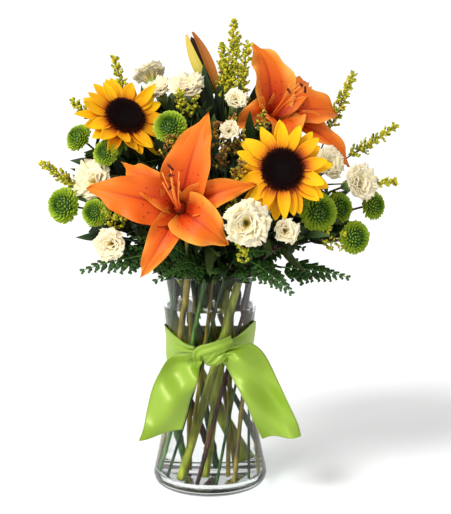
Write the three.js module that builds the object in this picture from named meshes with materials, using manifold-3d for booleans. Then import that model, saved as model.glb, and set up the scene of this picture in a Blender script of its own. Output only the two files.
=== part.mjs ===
// A hand-tied mixed bouquet with two small sunflowers, standing in a clear glass gathering vase.
// Millimetres, +Z up. The origin is the centre of the vase's flat underside and -Y is the front.
import * as THREE from "three";
import { ParametricGeometry } from "three/addons/geometries/ParametricGeometry.js";
import { mergeVertices } from "three/addons/utils/BufferGeometryUtils.js";
import Module from "manifold-3d";

const wasm = await Module();
wasm.setup();

// ---------- driving sizes ----------
const gap = 0.4; // air left between pieces that touch
const vase = {
  height: 220,
  wall: 3,
  floor: 8, // thickness of the solid glass floor
  foot: 46, // radius of the flat underside
  heel: 57, // widest radius, just above the underside
  waist: 42, // narrowest outer radius
  rim: 53, // outer radius of the flared rim
  waistRise: 128, // height of the waist
  segments: 28,
};
const water = { depth: 176 };
const ribbon = { width: 37, thick: 1.2, rise: 149, knot: 11 };
const stemRadius = { sunflower: 4, lily: 3.6, carnation: 2.2, pom: 2, goldenrod: 1.9, fern: 1.5 };
const stemSides = 6;
const spiral = { twist: 82, outer: 15, inner: 6, outerStart: -120, innerStart: -20 };
const sunflower = { disc: 20, reach: 46, rays: 17, depth: 18, facets: 14 };
const lily = { tube: 34, width: 44, narrow: 0.64, thick: 2.4, filament: 50, spread: 9, lean: 24 };
const bud = { length: 62, radius: 7.6 };
const carnationCalyx = 15; // length of the green tube under each carnation
const twig = 1.1; // radius of the side branches
const twigSides = 4;
const fern = { pinna: 30, pairs: 7 };

// ---------- places of the blooms: x, y, and height above the rim ----------
const carnations = {
  left: { at: [-110, -35, 93], radius: 20.5, spray: "left" },
  low_left: { at: [-93, -62, 36], radius: 16.5, spray: "left" },
  back_left: { at: [-72, 66, 112], radius: 19, spray: "left" },
  front: { at: [35, -112, 64], radius: 22, spray: "front" },
  front_small: { at: [71, -100, 55], radius: 14, spray: "front" },
  behind: { at: [51, -64, 78], radius: 17, spray: "front" },
  bud_mid: { at: [19, -75, 145], radius: 11, spray: "front" },
  right: { at: [114, -30, 109], radius: 17, spray: "right" },
  right_far: { at: [143, -42, 92], radius: 19, spray: "right" },
  back_right: { at: [96, 62, 92], radius: 19, spray: "right" },
  top: { at: [-22, -4, 180], radius: 18, spray: "top" },
  top_left: { at: [-49, 14, 176], radius: 16, spray: "top" },
  top_back: { at: [-60, 46, 188], radius: 17, spray: "top" },
  bud_upper: { at: [25, -40, 170], radius: 12.5, spray: "top" },
  back_mid: { at: [18, 96, 92], radius: 19, spray: "top" },
};
const poms = {
  left_high: { at: [-127, -5, 131], radius: 14, spray: "left" },
  left_mid: { at: [-98, -46, 121], radius: 12.5, spray: "left" },
  left_far: { at: [-139, -42, 70], radius: 17, spray: "left" },
  left_low: { at: [-109, -50, 64], radius: 13, spray: "left" },
  mid: { at: [-37, -50, 146], radius: 15.5, spray: "left" },
  right_front: { at: [103, -64, 67], radius: 18, spray: "right" },
  right_dark: { at: [124, -32, 66], radius: 15, spray: "right" },
  right_low: { at: [138, -60, 42], radius: 15.5, spray: "right" },
  right_far: { at: [158, -22, 67], radius: 14, spray: "right" },
  back_left: { at: [-108, 40, 92], radius: 14, spray: "back" },
  back_mid: { at: [-26, 88, 140], radius: 14, spray: "back" },
  back_right: { at: [58, 70, 142], radius: 14, spray: "back" },
};
// Each spray forks above the rim, at fork, and stands in the numbered place of its ring.
const carnationSprays = {
  front: { ring: "outer", place: 1, fork: [14, -52, 40] },
  right: { ring: "outer", place: 6, fork: [62, -8, 50] },
  left: { ring: "outer", place: 12, fork: [-48, 4, 26] },
  top: { ring: "inner", place: 3, fork: [-14, 18, 80] },
};
const pomSprays = {
  right: { ring: "outer", place: 4, fork: [62, -32, 26] },
  back: { ring: "outer", place: 8, fork: [2, 50, 48] },
  left: { ring: "outer", place: 13, fork: [-56, -32, 50] },
};
const sunflowers = {
  left: { at: [-81, -30, 154], face: [0.35, -0.68, 0.62], ring: "outer", place: 11 },
  right: { at: [68, -92, 111], face: [0, -0.97, 0.2], ring: "outer", place: 3 },
};
// A tepal's turn is its angle round the flower, reach its length from the throat, and curl the
// drop of its tip. The stamens lean to one side, as a share of lily.lean.
const lilies = {
  front: {
    at: [-29, -104, 78],
    face: [-0.08, -0.97, 0.2],
    ring: "outer",
    place: 0,
    turns: [17, 71, 135, 163, 242, 320],
    reaches: [74, 90, 70, 86, 74, 56],
    curls: [4, 2, 22, 6, 8, 14],
    lean: [-0.1, 1.1],
  },
  back: {
    at: [69, -10, 163],
    face: [0.35, -0.72, 0.6],
    ring: "inner",
    place: 0,
    turns: [349, 20, 64, 121, 214, 283],
    reaches: [92, 74, 62, 70, 46, 44],
    curls: [22, 18, 14, -6, 24, 4],
    lean: [0.3, 0.3],
  },
};
const budPlace = { base: [6, 10, 174], tip: [-20, 15, 232] };
// A goldenrod stem ends in its first plume, and the others branch off it at joint.
const goldenrods = {
  top: {
    ring: "inner",
    place: 2,
    joint: [18, 0, 124],
    plumes: [
      [24, 0, 245],
      [38, -6, 224],
      [12, 4, 222],
    ],
  },
  left_high: {
    ring: "inner",
    place: 4,
    joint: [-66, 12, 110],
    plumes: [
      [-94, 16, 209],
      [-136, 12, 166],
    ],
  },
  left: {
    ring: "inner",
    place: 5,
    joint: [-84, -16, 56],
    plumes: [
      [-164, -18, 109],
      [-150, 6, 92],
    ],
  },
  right: {
    ring: "inner",
    place: 1,
    joint: [96, 42, 78],
    plumes: [
      [143, 32, 192],
      [183, 2, 143],
      [184, -4, 88],
    ],
  },
  back: {
    ring: "outer",
    place: 9,
    joint: [-32, 62, 66],
    plumes: [
      [-50, 112, 118],
      [0, 112, 150],
    ],
  },
};
const plume = { radius: 6, length: 62 };
const ferns = {
  left: { ring: "outer", place: 14, knee: [-58, -54, 24], tip: [-122, -76, 12] },
  front: { ring: "outer", place: 2, knee: [40, -68, 20], tip: [78, -104, -4] },
  right: { ring: "outer", place: 5, knee: [70, -34, 8], tip: [134, -66, 4] },
  back_right: { ring: "outer", place: 7, knee: [50, 56, 26], tip: [104, 104, 30] },
  back_left: { ring: "outer", place: 10, knee: [-52, 52, 26], tip: [-100, 96, 34] },
};

// ---------- small tools ----------
const up = new THREE.Vector3(0, 0, 1);
const degrees = Math.PI / 180;
const colours = {
  glass: { color: "#dfe4e6", roughness: 0.05, metalness: 0 },
  water: { color: "#e8f0ee", roughness: 0.05, metalness: 0 },
  ribbon: { color: "#9bd246", roughness: 0.4, metalness: 0 },
  stem: { color: "#7c8a35", roughness: 0.6, metalness: 0 },
  disc: { color: "#2a120a", roughness: 0.9, metalness: 0 },
  ray: { color: "#f6b915", roughness: 0.6, metalness: 0 },
  tepal: { color: "#f07a1e", roughness: 0.5, metalness: 0 },
  stamen: { color: "#c4561c", roughness: 0.6, metalness: 0 },
  bud: { color: "#d09040", roughness: 0.5, metalness: 0 },
  carnation: { color: "#f3efd8", roughness: 0.7, metalness: 0 },
  pom: { color: "#7fb236", roughness: 0.7, metalness: 0 },
  goldenrod: { color: "#c9c62a", roughness: 0.8, metalness: 0 },
  fern: { color: "#24501f", roughness: 0.5, metalness: 0 },
};
const bouquet = new THREE.Group();

function addMesh(name, geometry, finish) {
  const mesh = new THREE.Mesh(geometry, new THREE.MeshStandardMaterial(colours[finish]));
  mesh.name = name;
  bouquet.add(mesh);
  return mesh;
}

function vector([x, y, z]) {
  return new THREE.Vector3(x, y, z);
}

// A place above the rim, measured from the vase's axis.
function aboveRim([x, y, rise]) {
  return new THREE.Vector3(x, y, vase.height + rise);
}

function solidFrom(geometry) {
  const plain = geometry.clone();
  plain.deleteAttribute("normal");
  plain.deleteAttribute("uv");
  const merged = mergeVertices(plain, 1e-3);
  const mesh = new wasm.Mesh({
    numProp: 3,
    vertProperties: merged.attributes.position.array,
    triVerts: new Uint32Array(merged.index.array),
  });
  return new wasm.Manifold(mesh);
}

function geometryFrom(solid) {
  const mesh = solid.getMesh();
  const geometry = new THREE.BufferGeometry();
  geometry.setAttribute("position", new THREE.BufferAttribute(mesh.vertProperties, 3));
  geometry.setIndex(new THREE.BufferAttribute(mesh.triVerts, 1));
  return geometry;
}

function join(geometries) {
  const solids = geometries.map(solidFrom);
  return geometryFrom(solids.reduce((whole, next) => whole.add(next)));
}

// A round tube along a curve, with flat ends.
function tube(curve, radius, steps, sides = stemSides) {
  const section = new THREE.Shape();
  for (let k = 0; k < sides; k++) {
    const angle = (k / sides) * 2 * Math.PI;
    const x = radius * Math.cos(angle);
    const y = radius * Math.sin(angle);
    if (k === 0) section.moveTo(x, y);
    else section.lineTo(x, y);
  }
  section.closePath();
  return new THREE.ExtrudeGeometry(section, { extrudePath: curve, steps, bevelEnabled: false });
}

// A leaf or petal of lens section. middle(t) is the centre line, across the direction of its
// width, width(t) its half width and thick(t) its half thickness, all with t from 0 to 1.
function blade({ middle, across, width, thick, sides = 4, steps = 5 }) {
  const point = new THREE.Vector3();
  const ahead = new THREE.Vector3();
  const face = new THREE.Vector3();
  const place = (u, t, target) => {
    point.copy(middle(t));
    ahead.copy(middle(Math.min(1, t + 0.01))).sub(middle(Math.max(0, t - 0.01)));
    face.crossVectors(across, ahead).normalize();
    const angle = u * 2 * Math.PI;
    target.copy(point);
    target.addScaledVector(across, -width(t) * Math.cos(angle));
    target.addScaledVector(face, thick(t) * Math.sin(angle));
  };
  return new ParametricGeometry(place, sides, steps);
}

// Turns a shape made along +Z so that +Z points along face, and moves it to place.
function pointAlong(geometry, face, place) {
  const turn = new THREE.Quaternion().setFromUnitVectors(up, face.clone().normalize());
  return geometry.applyQuaternion(turn).translate(place.x, place.y, place.z);
}

function lathe(points, segments) {
  return new THREE.LatheGeometry(points.map(([r, z]) => new THREE.Vector2(r, z)), segments)
    .rotateX(Math.PI / 2);
}

// ---------- vase ----------
// The outer wall runs from the heel through the waist to the rim on one smooth curve.
const outerWall = new THREE.SplineCurve([
  new THREE.Vector2(vase.heel, 14),
  new THREE.Vector2(vase.heel - 7, 48),
  new THREE.Vector2(vase.waist + 1.5, 92),
  new THREE.Vector2(vase.waist, vase.waistRise),
  new THREE.Vector2(vase.waist + 2.5, 168),
  new THREE.Vector2(vase.rim - 4.5, vase.height - 20),
  new THREE.Vector2(vase.rim, vase.height - 1.5),
]);
const wallPoints = outerWall.getPoints(60);

// Outer radius of the glass at a height.
function outerRadius(z) {
  const after = wallPoints.findIndex((p) => p.y >= z);
  if (after <= 0) return after === 0 ? vase.heel : vase.rim;
  const low = wallPoints[after - 1];
  const high = wallPoints[after];
  return THREE.MathUtils.mapLinear(z, low.y, high.y, low.x, high.x);
}

// The heights at which the wall has a ring of points, so that what lies on it can follow its facets.
const wallRises = [14, 44, 76, 104, vase.waistRise, 152, 178, vase.height - 18];

// Outer radius of the faceted glass at a height.
function glassRadius(z) {
  const after = Math.max(1, wallRises.findIndex((rise) => rise >= z));
  const [low, high] = [wallRises[after - 1], wallRises[after]];
  return THREE.MathUtils.mapLinear(z, low, high, outerRadius(low), outerRadius(high));
}

function vaseGeometry() {
  const outside = wallRises.map((z) => [outerRadius(z), z]);
  const inside = wallRises.filter((z) => z > vase.floor + 8).map((z) => [glassRadius(z) - vase.wall, z]);
  const profile = [
    [0, 0],
    [vase.foot, 0],
    [vase.heel - 5, 3],
    [vase.heel - 1, 8],
    ...outside,
    [vase.rim, vase.height - 1.5],
    [vase.rim - 1.5, vase.height],
    [vase.rim - vase.wall, vase.height - 1.5],
    ...inside.reverse(),
    [vase.foot + 2, vase.floor + 2],
    [vase.foot - 4, vase.floor],
    [0, vase.floor],
  ];
  return lathe(profile, vase.segments);
}
addMesh("vase", vaseGeometry(), "glass");

// ---------- spiral of stems ----------
const rings = {
  outer: { count: spiral.outer, start: spiral.outerStart, share: 1 },
  inner: { count: spiral.inner, start: spiral.innerStart, share: 0.47 },
};
const thickestStem = Math.max(...Object.values(stemRadius));
// The outer ring just clears the glass at the waist. A straight stem that turns by twist between
// equal circles comes nearest to the axis at cos(twist / 2) of their radius.
const waistReach = vase.waist - vase.wall - thickestStem - 4 * gap;
const rimReach = vase.rim - vase.wall - thickestStem - 4 * gap;
const footReach = vase.foot + 2 - thickestStem - 2 * gap;
const abovePinch = 0.955; // the waist lies a little off the point where the stems come nearest
const waistRing = (waistReach / Math.cos((spiral.twist / 2) * degrees)) * abovePinch;
const ringRadius = Math.min(waistRing, rimReach, footReach);

function onCircle(radius, angle, z) {
  return new THREE.Vector3(radius * Math.cos(angle), radius * Math.sin(angle), z);
}

// The straight stretch of a stem, from the vase floor to just above the rim.
function spiralLine({ ring, place }, radius) {
  const { count, start, share } = rings[ring];
  const angle = (start + (place * 360) / count) * degrees;
  const foot = onCircle(ringRadius * share, angle - spiral.twist * degrees, vase.floor + radius + gap);
  const top = onCircle(ringRadius * share, angle, vase.height - 4);
  return new THREE.LineCurve3(foot, top);
}

// A stem from the vase floor to tip, where it arrives along face.
function stemCurve(slot, radius, tip, face) {
  const line = spiralLine(slot, radius);
  const leave = line.v2.clone().sub(line.v1).normalize();
  const reach = line.v2.distanceTo(tip) * 0.4;
  const path = new THREE.CurvePath();
  path.add(line);
  path.add(
    new THREE.CubicBezierCurve3(
      line.v2,
      line.v2.clone().addScaledVector(leave, reach),
      tip.clone().addScaledVector(face.clone().normalize(), -reach),
      tip,
    ),
  );
  return path;
}

const standing = []; // each stem's straight stretch and radius, for the holes they leave in the water

function mainStem(slot, radius, tip, face, steps = 10) {
  standing.push({ line: spiralLine(slot, radius), radius });
  return tube(stemCurve(slot, radius, tip, face), radius, steps);
}

// A side branch from a stem at start to tip, where it arrives along face.
function branch(start, tip, face, radius = twig, steps = 3) {
  const reach = start.distanceTo(tip) * 0.35;
  const rise = tip.clone().sub(start).normalize();
  const curve = new THREE.CubicBezierCurve3(
    start,
    start.clone().addScaledVector(rise, reach),
    tip.clone().addScaledVector(face.clone().normalize(), -reach),
    tip,
  );
  return tube(curve, radius, steps, twigSides);
}

// Blooms face away from the heart of the bouquet, which lies just above the rim. They turn more to
// the front, or behind it to the back, than their places do.
const heart = [0, 10, 20];
const turnOut = { times: 2.2, front: 80, back: 40, divide: 30 };
function outward(at) {
  const away = aboveRim(at).sub(aboveRim(heart));
  away.y = away.y * turnOut.times + (at[1] < turnOut.divide ? -turnOut.front : turnOut.back);
  return away.normalize();
}

// ---------- sunflowers ----------
function sunflowerHead() {
  const { disc, depth } = sunflower;
  const profile = [
    [0, -depth],
    [stemRadius.sunflower + 1, -depth],
    [disc, -9],
    [disc + 7, -5],
    [disc + 6, -4],
    [disc, -4],
    [disc, 2],
    [disc - 3, 5.5],
    [disc - 10, 7],
    [0, 6],
  ];
  return lathe(profile, sunflower.facets);
}

// One ray lies along +X, cupped a little, and is widest near its middle.
function sunflowerRay(index) {
  const start = sunflower.disc + 2;
  const reach = sunflower.reach - start - 3 * (index % 2);
  const lift = index % 2 ? 3 : 0;
  return blade({
    middle: (t) => new THREE.Vector3(start + reach * t, 0, -1.8 + lift * t - 4 * t * t),
    across: new THREE.Vector3(0, -1, 0),
    width: (t) => 6.2 * Math.sin(Math.PI * Math.min(1, 0.22 + 0.78 * t)) * (t < 1 ? 1 : 0),
    thick: (t) => 1.1 * (1 - 0.6 * t) * (t > 0 && t < 1 ? 1 : 0),
    steps: 3,
  }).rotateZ((index / sunflower.rays) * 2 * Math.PI);
}

function sunflowerRays() {
  const inside = sunflower.disc + gap;
  const collar = [
    [inside, -3.4],
    [inside + 5, -3.4],
    [inside + 5, -0.6],
    [inside, -0.6],
    [inside, -3.4],
  ];
  const rays = Array.from({ length: sunflower.rays }, (_, index) => sunflowerRay(index));
  return join([lathe(collar, sunflower.facets), ...rays]);
}

for (const [side, flower] of Object.entries(sunflowers)) {
  const at = aboveRim(flower.at);
  const face = vector(flower.face).normalize();
  const foot = at.clone().addScaledVector(face, -sunflower.depth - gap);
  addMesh(`sunflower_${side}_stem`, mainStem(flower, stemRadius.sunflower, foot, face), "stem");
  addMesh(`sunflower_${side}_head`, pointAlong(sunflowerHead(), face, at), "disc");
  addMesh(`sunflower_${side}_rays`, pointAlong(sunflowerRays(), face, at), "ray");
}

// ---------- lilies ----------
// A tepal climbs out of the tube, spreads to its reach and drops its tip by curl.
function lilyTepal(turn, reach, curl, narrow) {
  const middle = (t) => {
    const spread = 2 + reach * Math.pow(t, 1.25);
    const climb = -lily.tube * Math.pow(1 - t, 2.2) + 7 * Math.sin(Math.PI * t) - curl * t * t;
    return new THREE.Vector3(spread, 0, climb);
  };
  return blade({
    middle,
    across: new THREE.Vector3(0, -1, 0),
    width: (t) => ((narrow ? lily.narrow : 1) * lily.width * Math.sin(Math.PI * Math.pow(t, 0.8))) / 2,
    thick: (t) => (lily.thick / 2) * Math.sin(Math.PI * t),
    steps: 6,
  }).rotateZ(turn * degrees);
}

function lilyFlower({ turns, reaches, curls }) {
  const base = lathe([[0, -lily.tube - 2], [5, -lily.tube - 2], [6, -lily.tube + 12], [0, -lily.tube + 16]], 8);
  const tepals = turns.map((turn, k) => lilyTepal(turn, reaches[k], curls[k], k % 2 === 0));
  return join([base, ...tepals]);
}

// Six filaments with their anthers round a longer pistil, joined where they leave the tube.
function lilyStamens({ lean }) {
  const root = -lily.tube + 16 + 2 * gap;
  const pieces = [lathe([[0, root], [3, root], [2, root + 6], [0, root + 7]], 6)];
  for (let k = 0; k < 7; k++) {
    const pistil = k === 6;
    const angle = k * 60 * degrees + 0.5;
    const spread = pistil ? 1 : lily.spread;
    const length = pistil ? lily.filament : lily.filament - 8;
    const side = new THREE.Vector3(Math.cos(angle), Math.sin(angle), 0);
    const from = side.clone().multiplyScalar(pistil ? 0 : 1.6).setZ(root + 3);
    const to = side.clone().multiplyScalar(spread).setZ(root + length - 8 * Math.hypot(...lean));
    to.add(new THREE.Vector3(lean[0], lean[1], 0).multiplyScalar(lily.lean));
    const bend = side.clone().multiplyScalar(spread * 0.25).setZ(root + length * 0.6);
    pieces.push(tube(new THREE.QuadraticBezierCurve3(from, bend, to), 0.8, 2, 4));
    const anther = new THREE.SphereGeometry(pistil ? 2 : 1.7, 4, 3).scale(1, 1, pistil ? 0.8 : 2.4);
    pieces.push(anther.rotateY(pistil ? 0 : 1.2).rotateZ(angle).translate(to.x, to.y, to.z));
  }
  return join(pieces);
}

function lilyBud(base, tip) {
  const axis = tip.clone().sub(base);
  const { radius } = bud;
  const profile = [
    [0, 0],
    [2.5, 0],
    [radius * 0.7, bud.length * 0.2],
    [radius, bud.length * 0.48],
    [radius * 0.72, bud.length * 0.8],
    [0, bud.length],
  ];
  return pointAlong(lathe(profile, 9), axis, base);
}

// Where a lily's stem meets the tube of its flower.
function lilyFoot({ at, face }) {
  return aboveRim(at).addScaledVector(vector(face).normalize(), -lily.tube - 2 - gap);
}

const lilyStems = {};
for (const [side, flower] of Object.entries(lilies)) {
  const at = aboveRim(flower.at);
  const face = vector(flower.face).normalize();
  lilyStems[side] = [mainStem(flower, stemRadius.lily, lilyFoot(flower), face)];
  addMesh(`lily_${side}_tepals`, pointAlong(lilyFlower(flower), face, at), "tepal");
  addMesh(`lily_${side}_stamens`, pointAlong(lilyStamens(flower), face, at), "stamen");
}
const budBase = aboveRim(budPlace.base);
const budTip = aboveRim(budPlace.tip);
const budFace = budTip.clone().sub(budBase).normalize();
const budFork = stemCurve(lilies.back, stemRadius.lily, lilyFoot(lilies.back), vector(lilies.back.face)).getPointAt(0.72);
lilyStems.back.push(branch(budFork, budBase.clone().addScaledVector(budFace, -gap), budFace, 1.8, 5));
addMesh("lily_front_stem", lilyStems.front[0], "stem");
addMesh("lily_back_stem", join(lilyStems.back), "stem");
addMesh("lily_bud", lilyBud(budBase, budTip), "bud");

// ---------- carnations and button poms ----------
function carnationBloom(radius) {
  const profile = [
    [0, -radius * 0.6 - carnationCalyx],
    [2.6, -radius * 0.6 - carnationCalyx],
    [3.6, -radius * 0.6],
    [radius * 0.82, -radius * 0.32],
    [radius, radius * 0.12],
    [radius * 0.66, radius * 0.56],
    [0, radius * 0.66],
  ];
  return lathe(profile, 8);
}

function pomBloom(radius) {
  const profile = [
    [0, -radius * 0.72],
    [radius * 0.5, -radius * 0.62],
    [radius * 0.96, -radius * 0.2],
    [radius * 0.92, radius * 0.28],
    [radius * 0.52, radius * 0.66],
    [0, radius * 0.72],
  ];
  return lathe(profile, 8);
}

// A spray's stem meets its fork steeply: forkRise up for the fork's own distance from the axis.
const forkRise = 90;
function addSprays(kind, blooms, sprays, shape, footOf, radius) {
  for (const [name, bloom] of Object.entries(blooms)) {
    addMesh(`${kind}_${name}`, pointAlong(shape(bloom.radius), outward(bloom.at), aboveRim(bloom.at)), kind);
  }
  for (const [name, spray] of Object.entries(sprays)) {
    const fork = aboveRim(spray.fork);
    const rise = new THREE.Vector3(spray.fork[0], spray.fork[1], forkRise);
    const pieces = [mainStem(spray, radius, fork, rise, 9)];
    for (const bloom of Object.values(blooms).filter((one) => one.spray === name)) {
      const face = outward(bloom.at);
      const foot = aboveRim(bloom.at).addScaledVector(face, -footOf(bloom.radius) - gap);
      const start = fork.clone().addScaledVector(foot.clone().sub(fork).normalize(), -radius * 0.4);
      pieces.push(branch(start, foot, face));
    }
    addMesh(`${kind}_stem_${name}`, join(pieces), "stem");
  }
}
addSprays("carnation", carnations, carnationSprays, carnationBloom,
  (radius) => radius * 0.6 + carnationCalyx, stemRadius.carnation);
addSprays("pom", poms, pomSprays, pomBloom, (radius) => radius * 0.72, stemRadius.pom);

// ---------- goldenrod ----------
// A plume tapers to its tip, which arches over a little.
function plumeBlade(joint, tip) {
  const ahead = tip.clone().sub(joint).normalize();
  const across = new THREE.Vector3().crossVectors(ahead, up).normalize();
  const length = Math.min(plume.length, joint.distanceTo(tip) * 0.8);
  return blade({
    middle: (t) => tip.clone().addScaledVector(ahead, -length * (1 - t)),
    across,
    width: (t) => plume.radius * Math.sin(Math.PI * Math.pow(t, 0.7)),
    thick: (t) => plume.radius * Math.sin(Math.PI * Math.pow(t, 0.7)),
    sides: 6,
    steps: 4,
  });
}

for (const [name, goldenrod] of Object.entries(goldenrods)) {
  const joint = aboveRim(goldenrod.joint);
  const tips = goldenrod.plumes.map(aboveRim);
  const lead = tips[0].clone().sub(joint).normalize();
  const pieces = [mainStem(goldenrod, stemRadius.goldenrod, joint, lead, 9)];
  for (const tip of tips) {
    const ahead = tip.clone().sub(joint).normalize();
    const start = joint.clone().addScaledVector(ahead, -1);
    const end = tip.clone().addScaledVector(ahead, -8);
    pieces.push(branch(start, end, ahead, twig, 2));
    pieces.push(plumeBlade(joint, tip));
  }
  addMesh(`goldenrod_${name}`, join(pieces), "goldenrod");
}

// ---------- leatherleaf fern ----------
// A frond bends over the rim at knee and carries pairs of flat pinnae that shorten to the tip.
function fernFrond({ ring, place, knee, tip }) {
  const bend = aboveRim(knee);
  const end = aboveRim(tip);
  const ahead = end.clone().sub(bend).normalize();
  const across = new THREE.Vector3().crossVectors(ahead, up).normalize();
  const pieces = [mainStem({ ring, place }, stemRadius.fern, bend, ahead, 9)];
  pieces.push(branch(bend.clone().addScaledVector(ahead, -1), end, ahead, twig, 2));
  for (let k = 0; k < fern.pairs; k++) {
    const along = (k + 0.6) / fern.pairs;
    const length = fern.pinna * Math.sin(Math.PI * (0.25 + 0.7 * along));
    const from = bend.clone().lerp(end, along);
    for (const side of [-1, 1]) {
      const out = across.clone().multiplyScalar(side).addScaledVector(ahead, 0.45).normalize();
      pieces.push(
        blade({
          middle: (t) => from.clone().addScaledVector(out, length * t).addScaledVector(up, -5 * t * t),
          across: ahead.clone().multiplyScalar(-side),
          width: (t) => 5.4 * Math.sin(Math.PI * (0.3 + 0.7 * t)) * (t > 0 ? 1 : 0),
          thick: (t) => 0.8 * Math.sin(Math.PI * (0.3 + 0.7 * t)) * (t > 0 ? 1 : 0),
          steps: 2,
        }),
      );
    }
  }
  return join(pieces);
}

for (const [name, frond] of Object.entries(ferns)) {
  addMesh(`fern_${name}`, fernFrond(frond), "fern");
}

// ---------- ribbon ----------
// The band lies on the glass all the way round.
function ribbonBand() {
  const bottom = ribbon.rise - ribbon.width / 2;
  const top = ribbon.rise + ribbon.width / 2;
  const rises = [bottom, ...wallRises.filter((z) => z > bottom && z < top), top];
  const inside = rises.map((z) => [glassRadius(z) + gap, z]);
  const outside = rises.map((z) => [glassRadius(z) + gap + ribbon.thick, z]);
  return lathe([...outside, ...inside.reverse(), outside[0]], vase.segments);
}

// Edges of a tail from the knot down: each row is [x of one edge, x of the other, distance in
// front of the knot's middle, drop below it].
const tails = {
  left: [
    [-9, 3, 4, 0, 0],
    [-36, -8, 4, 8, 18],
    [-54, -14, 8, 34, 42],
    [-62, -22, 10, 66, 66],
    [-70, -27, 8, 88, 76],
  ],
  right: [
    [-3, 9, 4, 0, 0],
    [14, 44, 4, 14, -2],
    [26, 62, 6, 38, 26],
    [40, 77, 10, 66, 50],
    [50, 88, 8, 86, 80],
  ],
};

function ribbonTail(rows, knotPlace) {
  const edges = [0, 1].map(
    (side) => new THREE.CatmullRomCurve3(
      rows.map((row) => new THREE.Vector3(row[side], knotPlace.y - row[2], knotPlace.z - row[3 + side])),
    ),
  );
  const place = (u, t, target) => {
    const angle = u * 2 * Math.PI;
    const share = 0.5 - 0.5 * Math.cos(angle);
    const ends = edges.map((edge) => edge.getPoint(THREE.MathUtils.clamp(t, 0.01, 0.99)));
    target.copy(ends[0]).lerp(ends[1], share);
    target.y += ribbon.thick * Math.sin(angle) * (t > 0 && t < 1 ? 1 : 0);
    if (t <= 0 || t >= 1) target.copy(ends[0]).lerp(ends[1], 0.5);
  };
  return new ParametricGeometry(place, 6, 7);
}

const knotDepth = 0.8; // the knot's depth as a share of its height
const knotPlace = new THREE.Vector3(
  3,
  -glassRadius(ribbon.rise + ribbon.knot) - 1.5 * gap - ribbon.knot * knotDepth,
  ribbon.rise + 6,
);
const knot = new THREE.SphereGeometry(ribbon.knot, 8, 6).scale(1, knotDepth, 0.95)
  .translate(knotPlace.x, knotPlace.y, knotPlace.z);
addMesh(
  "ribbon",
  join([ribbonBand(), knot, ribbonTail(tails.left, knotPlace), ribbonTail(tails.right, knotPlace)]),
  "ribbon",
);

// ---------- water ----------
// The water fills the vase from its floor and closes round every stem.
function waterGeometry() {
  const rises = wallRises.filter((z) => z > vase.floor + 8 && z < vase.floor + water.depth - 4);
  const level = vase.floor + water.depth;
  const profile = [
    [0, vase.floor + gap],
    [vase.foot - 4 - gap, vase.floor + gap],
    [vase.foot + 2 - gap, vase.floor + 2 + gap],
    ...rises.map((z) => [glassRadius(z) - vase.wall - gap, z]),
    [glassRadius(level) - vase.wall - gap, level],
    [0, level],
  ];
  let solid = solidFrom(lathe(profile, vase.segments));
  const hole = 1 / Math.cos(Math.PI / stemSides); // so that a hole's flats clear a stem's corners
  for (const { line, radius } of standing) {
    solid = solid.subtract(solidFrom(tube(line, radius * hole + gap, 1)));
  }
  return geometryFrom(solid);
}
addMesh("water", waterGeometry(), "water");

export default bouquet;
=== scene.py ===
import math

import bpy
import numpy as np
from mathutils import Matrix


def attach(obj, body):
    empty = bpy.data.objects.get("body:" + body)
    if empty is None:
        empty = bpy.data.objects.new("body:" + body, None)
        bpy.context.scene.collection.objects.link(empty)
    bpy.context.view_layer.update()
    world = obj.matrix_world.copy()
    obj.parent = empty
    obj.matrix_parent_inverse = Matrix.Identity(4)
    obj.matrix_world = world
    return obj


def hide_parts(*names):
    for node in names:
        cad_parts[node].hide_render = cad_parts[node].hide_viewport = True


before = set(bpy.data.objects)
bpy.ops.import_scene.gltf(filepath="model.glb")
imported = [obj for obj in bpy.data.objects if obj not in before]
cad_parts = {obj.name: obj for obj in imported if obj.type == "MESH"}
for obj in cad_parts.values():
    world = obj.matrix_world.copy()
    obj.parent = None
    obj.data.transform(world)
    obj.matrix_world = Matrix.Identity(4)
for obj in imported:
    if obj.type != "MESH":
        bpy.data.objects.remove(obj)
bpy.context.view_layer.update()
mm = 0.001
turn = 2 * math.pi
golden = math.pi * (3 - math.sqrt(5))  # the angle between one floret and the next in a flower head


# small tools

def linear(hexColour, alpha=1.0):
    # sRGB hex to linear: each channel through the sRGB curve
    channels = [int(hexColour[k:k + 2], 16) / 255 for k in (1, 3, 5)]
    return tuple(c / 12.92 if c <= 0.04045 else ((c + 0.055) / 1.055) ** 2.4 for c in channels) + (alpha,)


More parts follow.
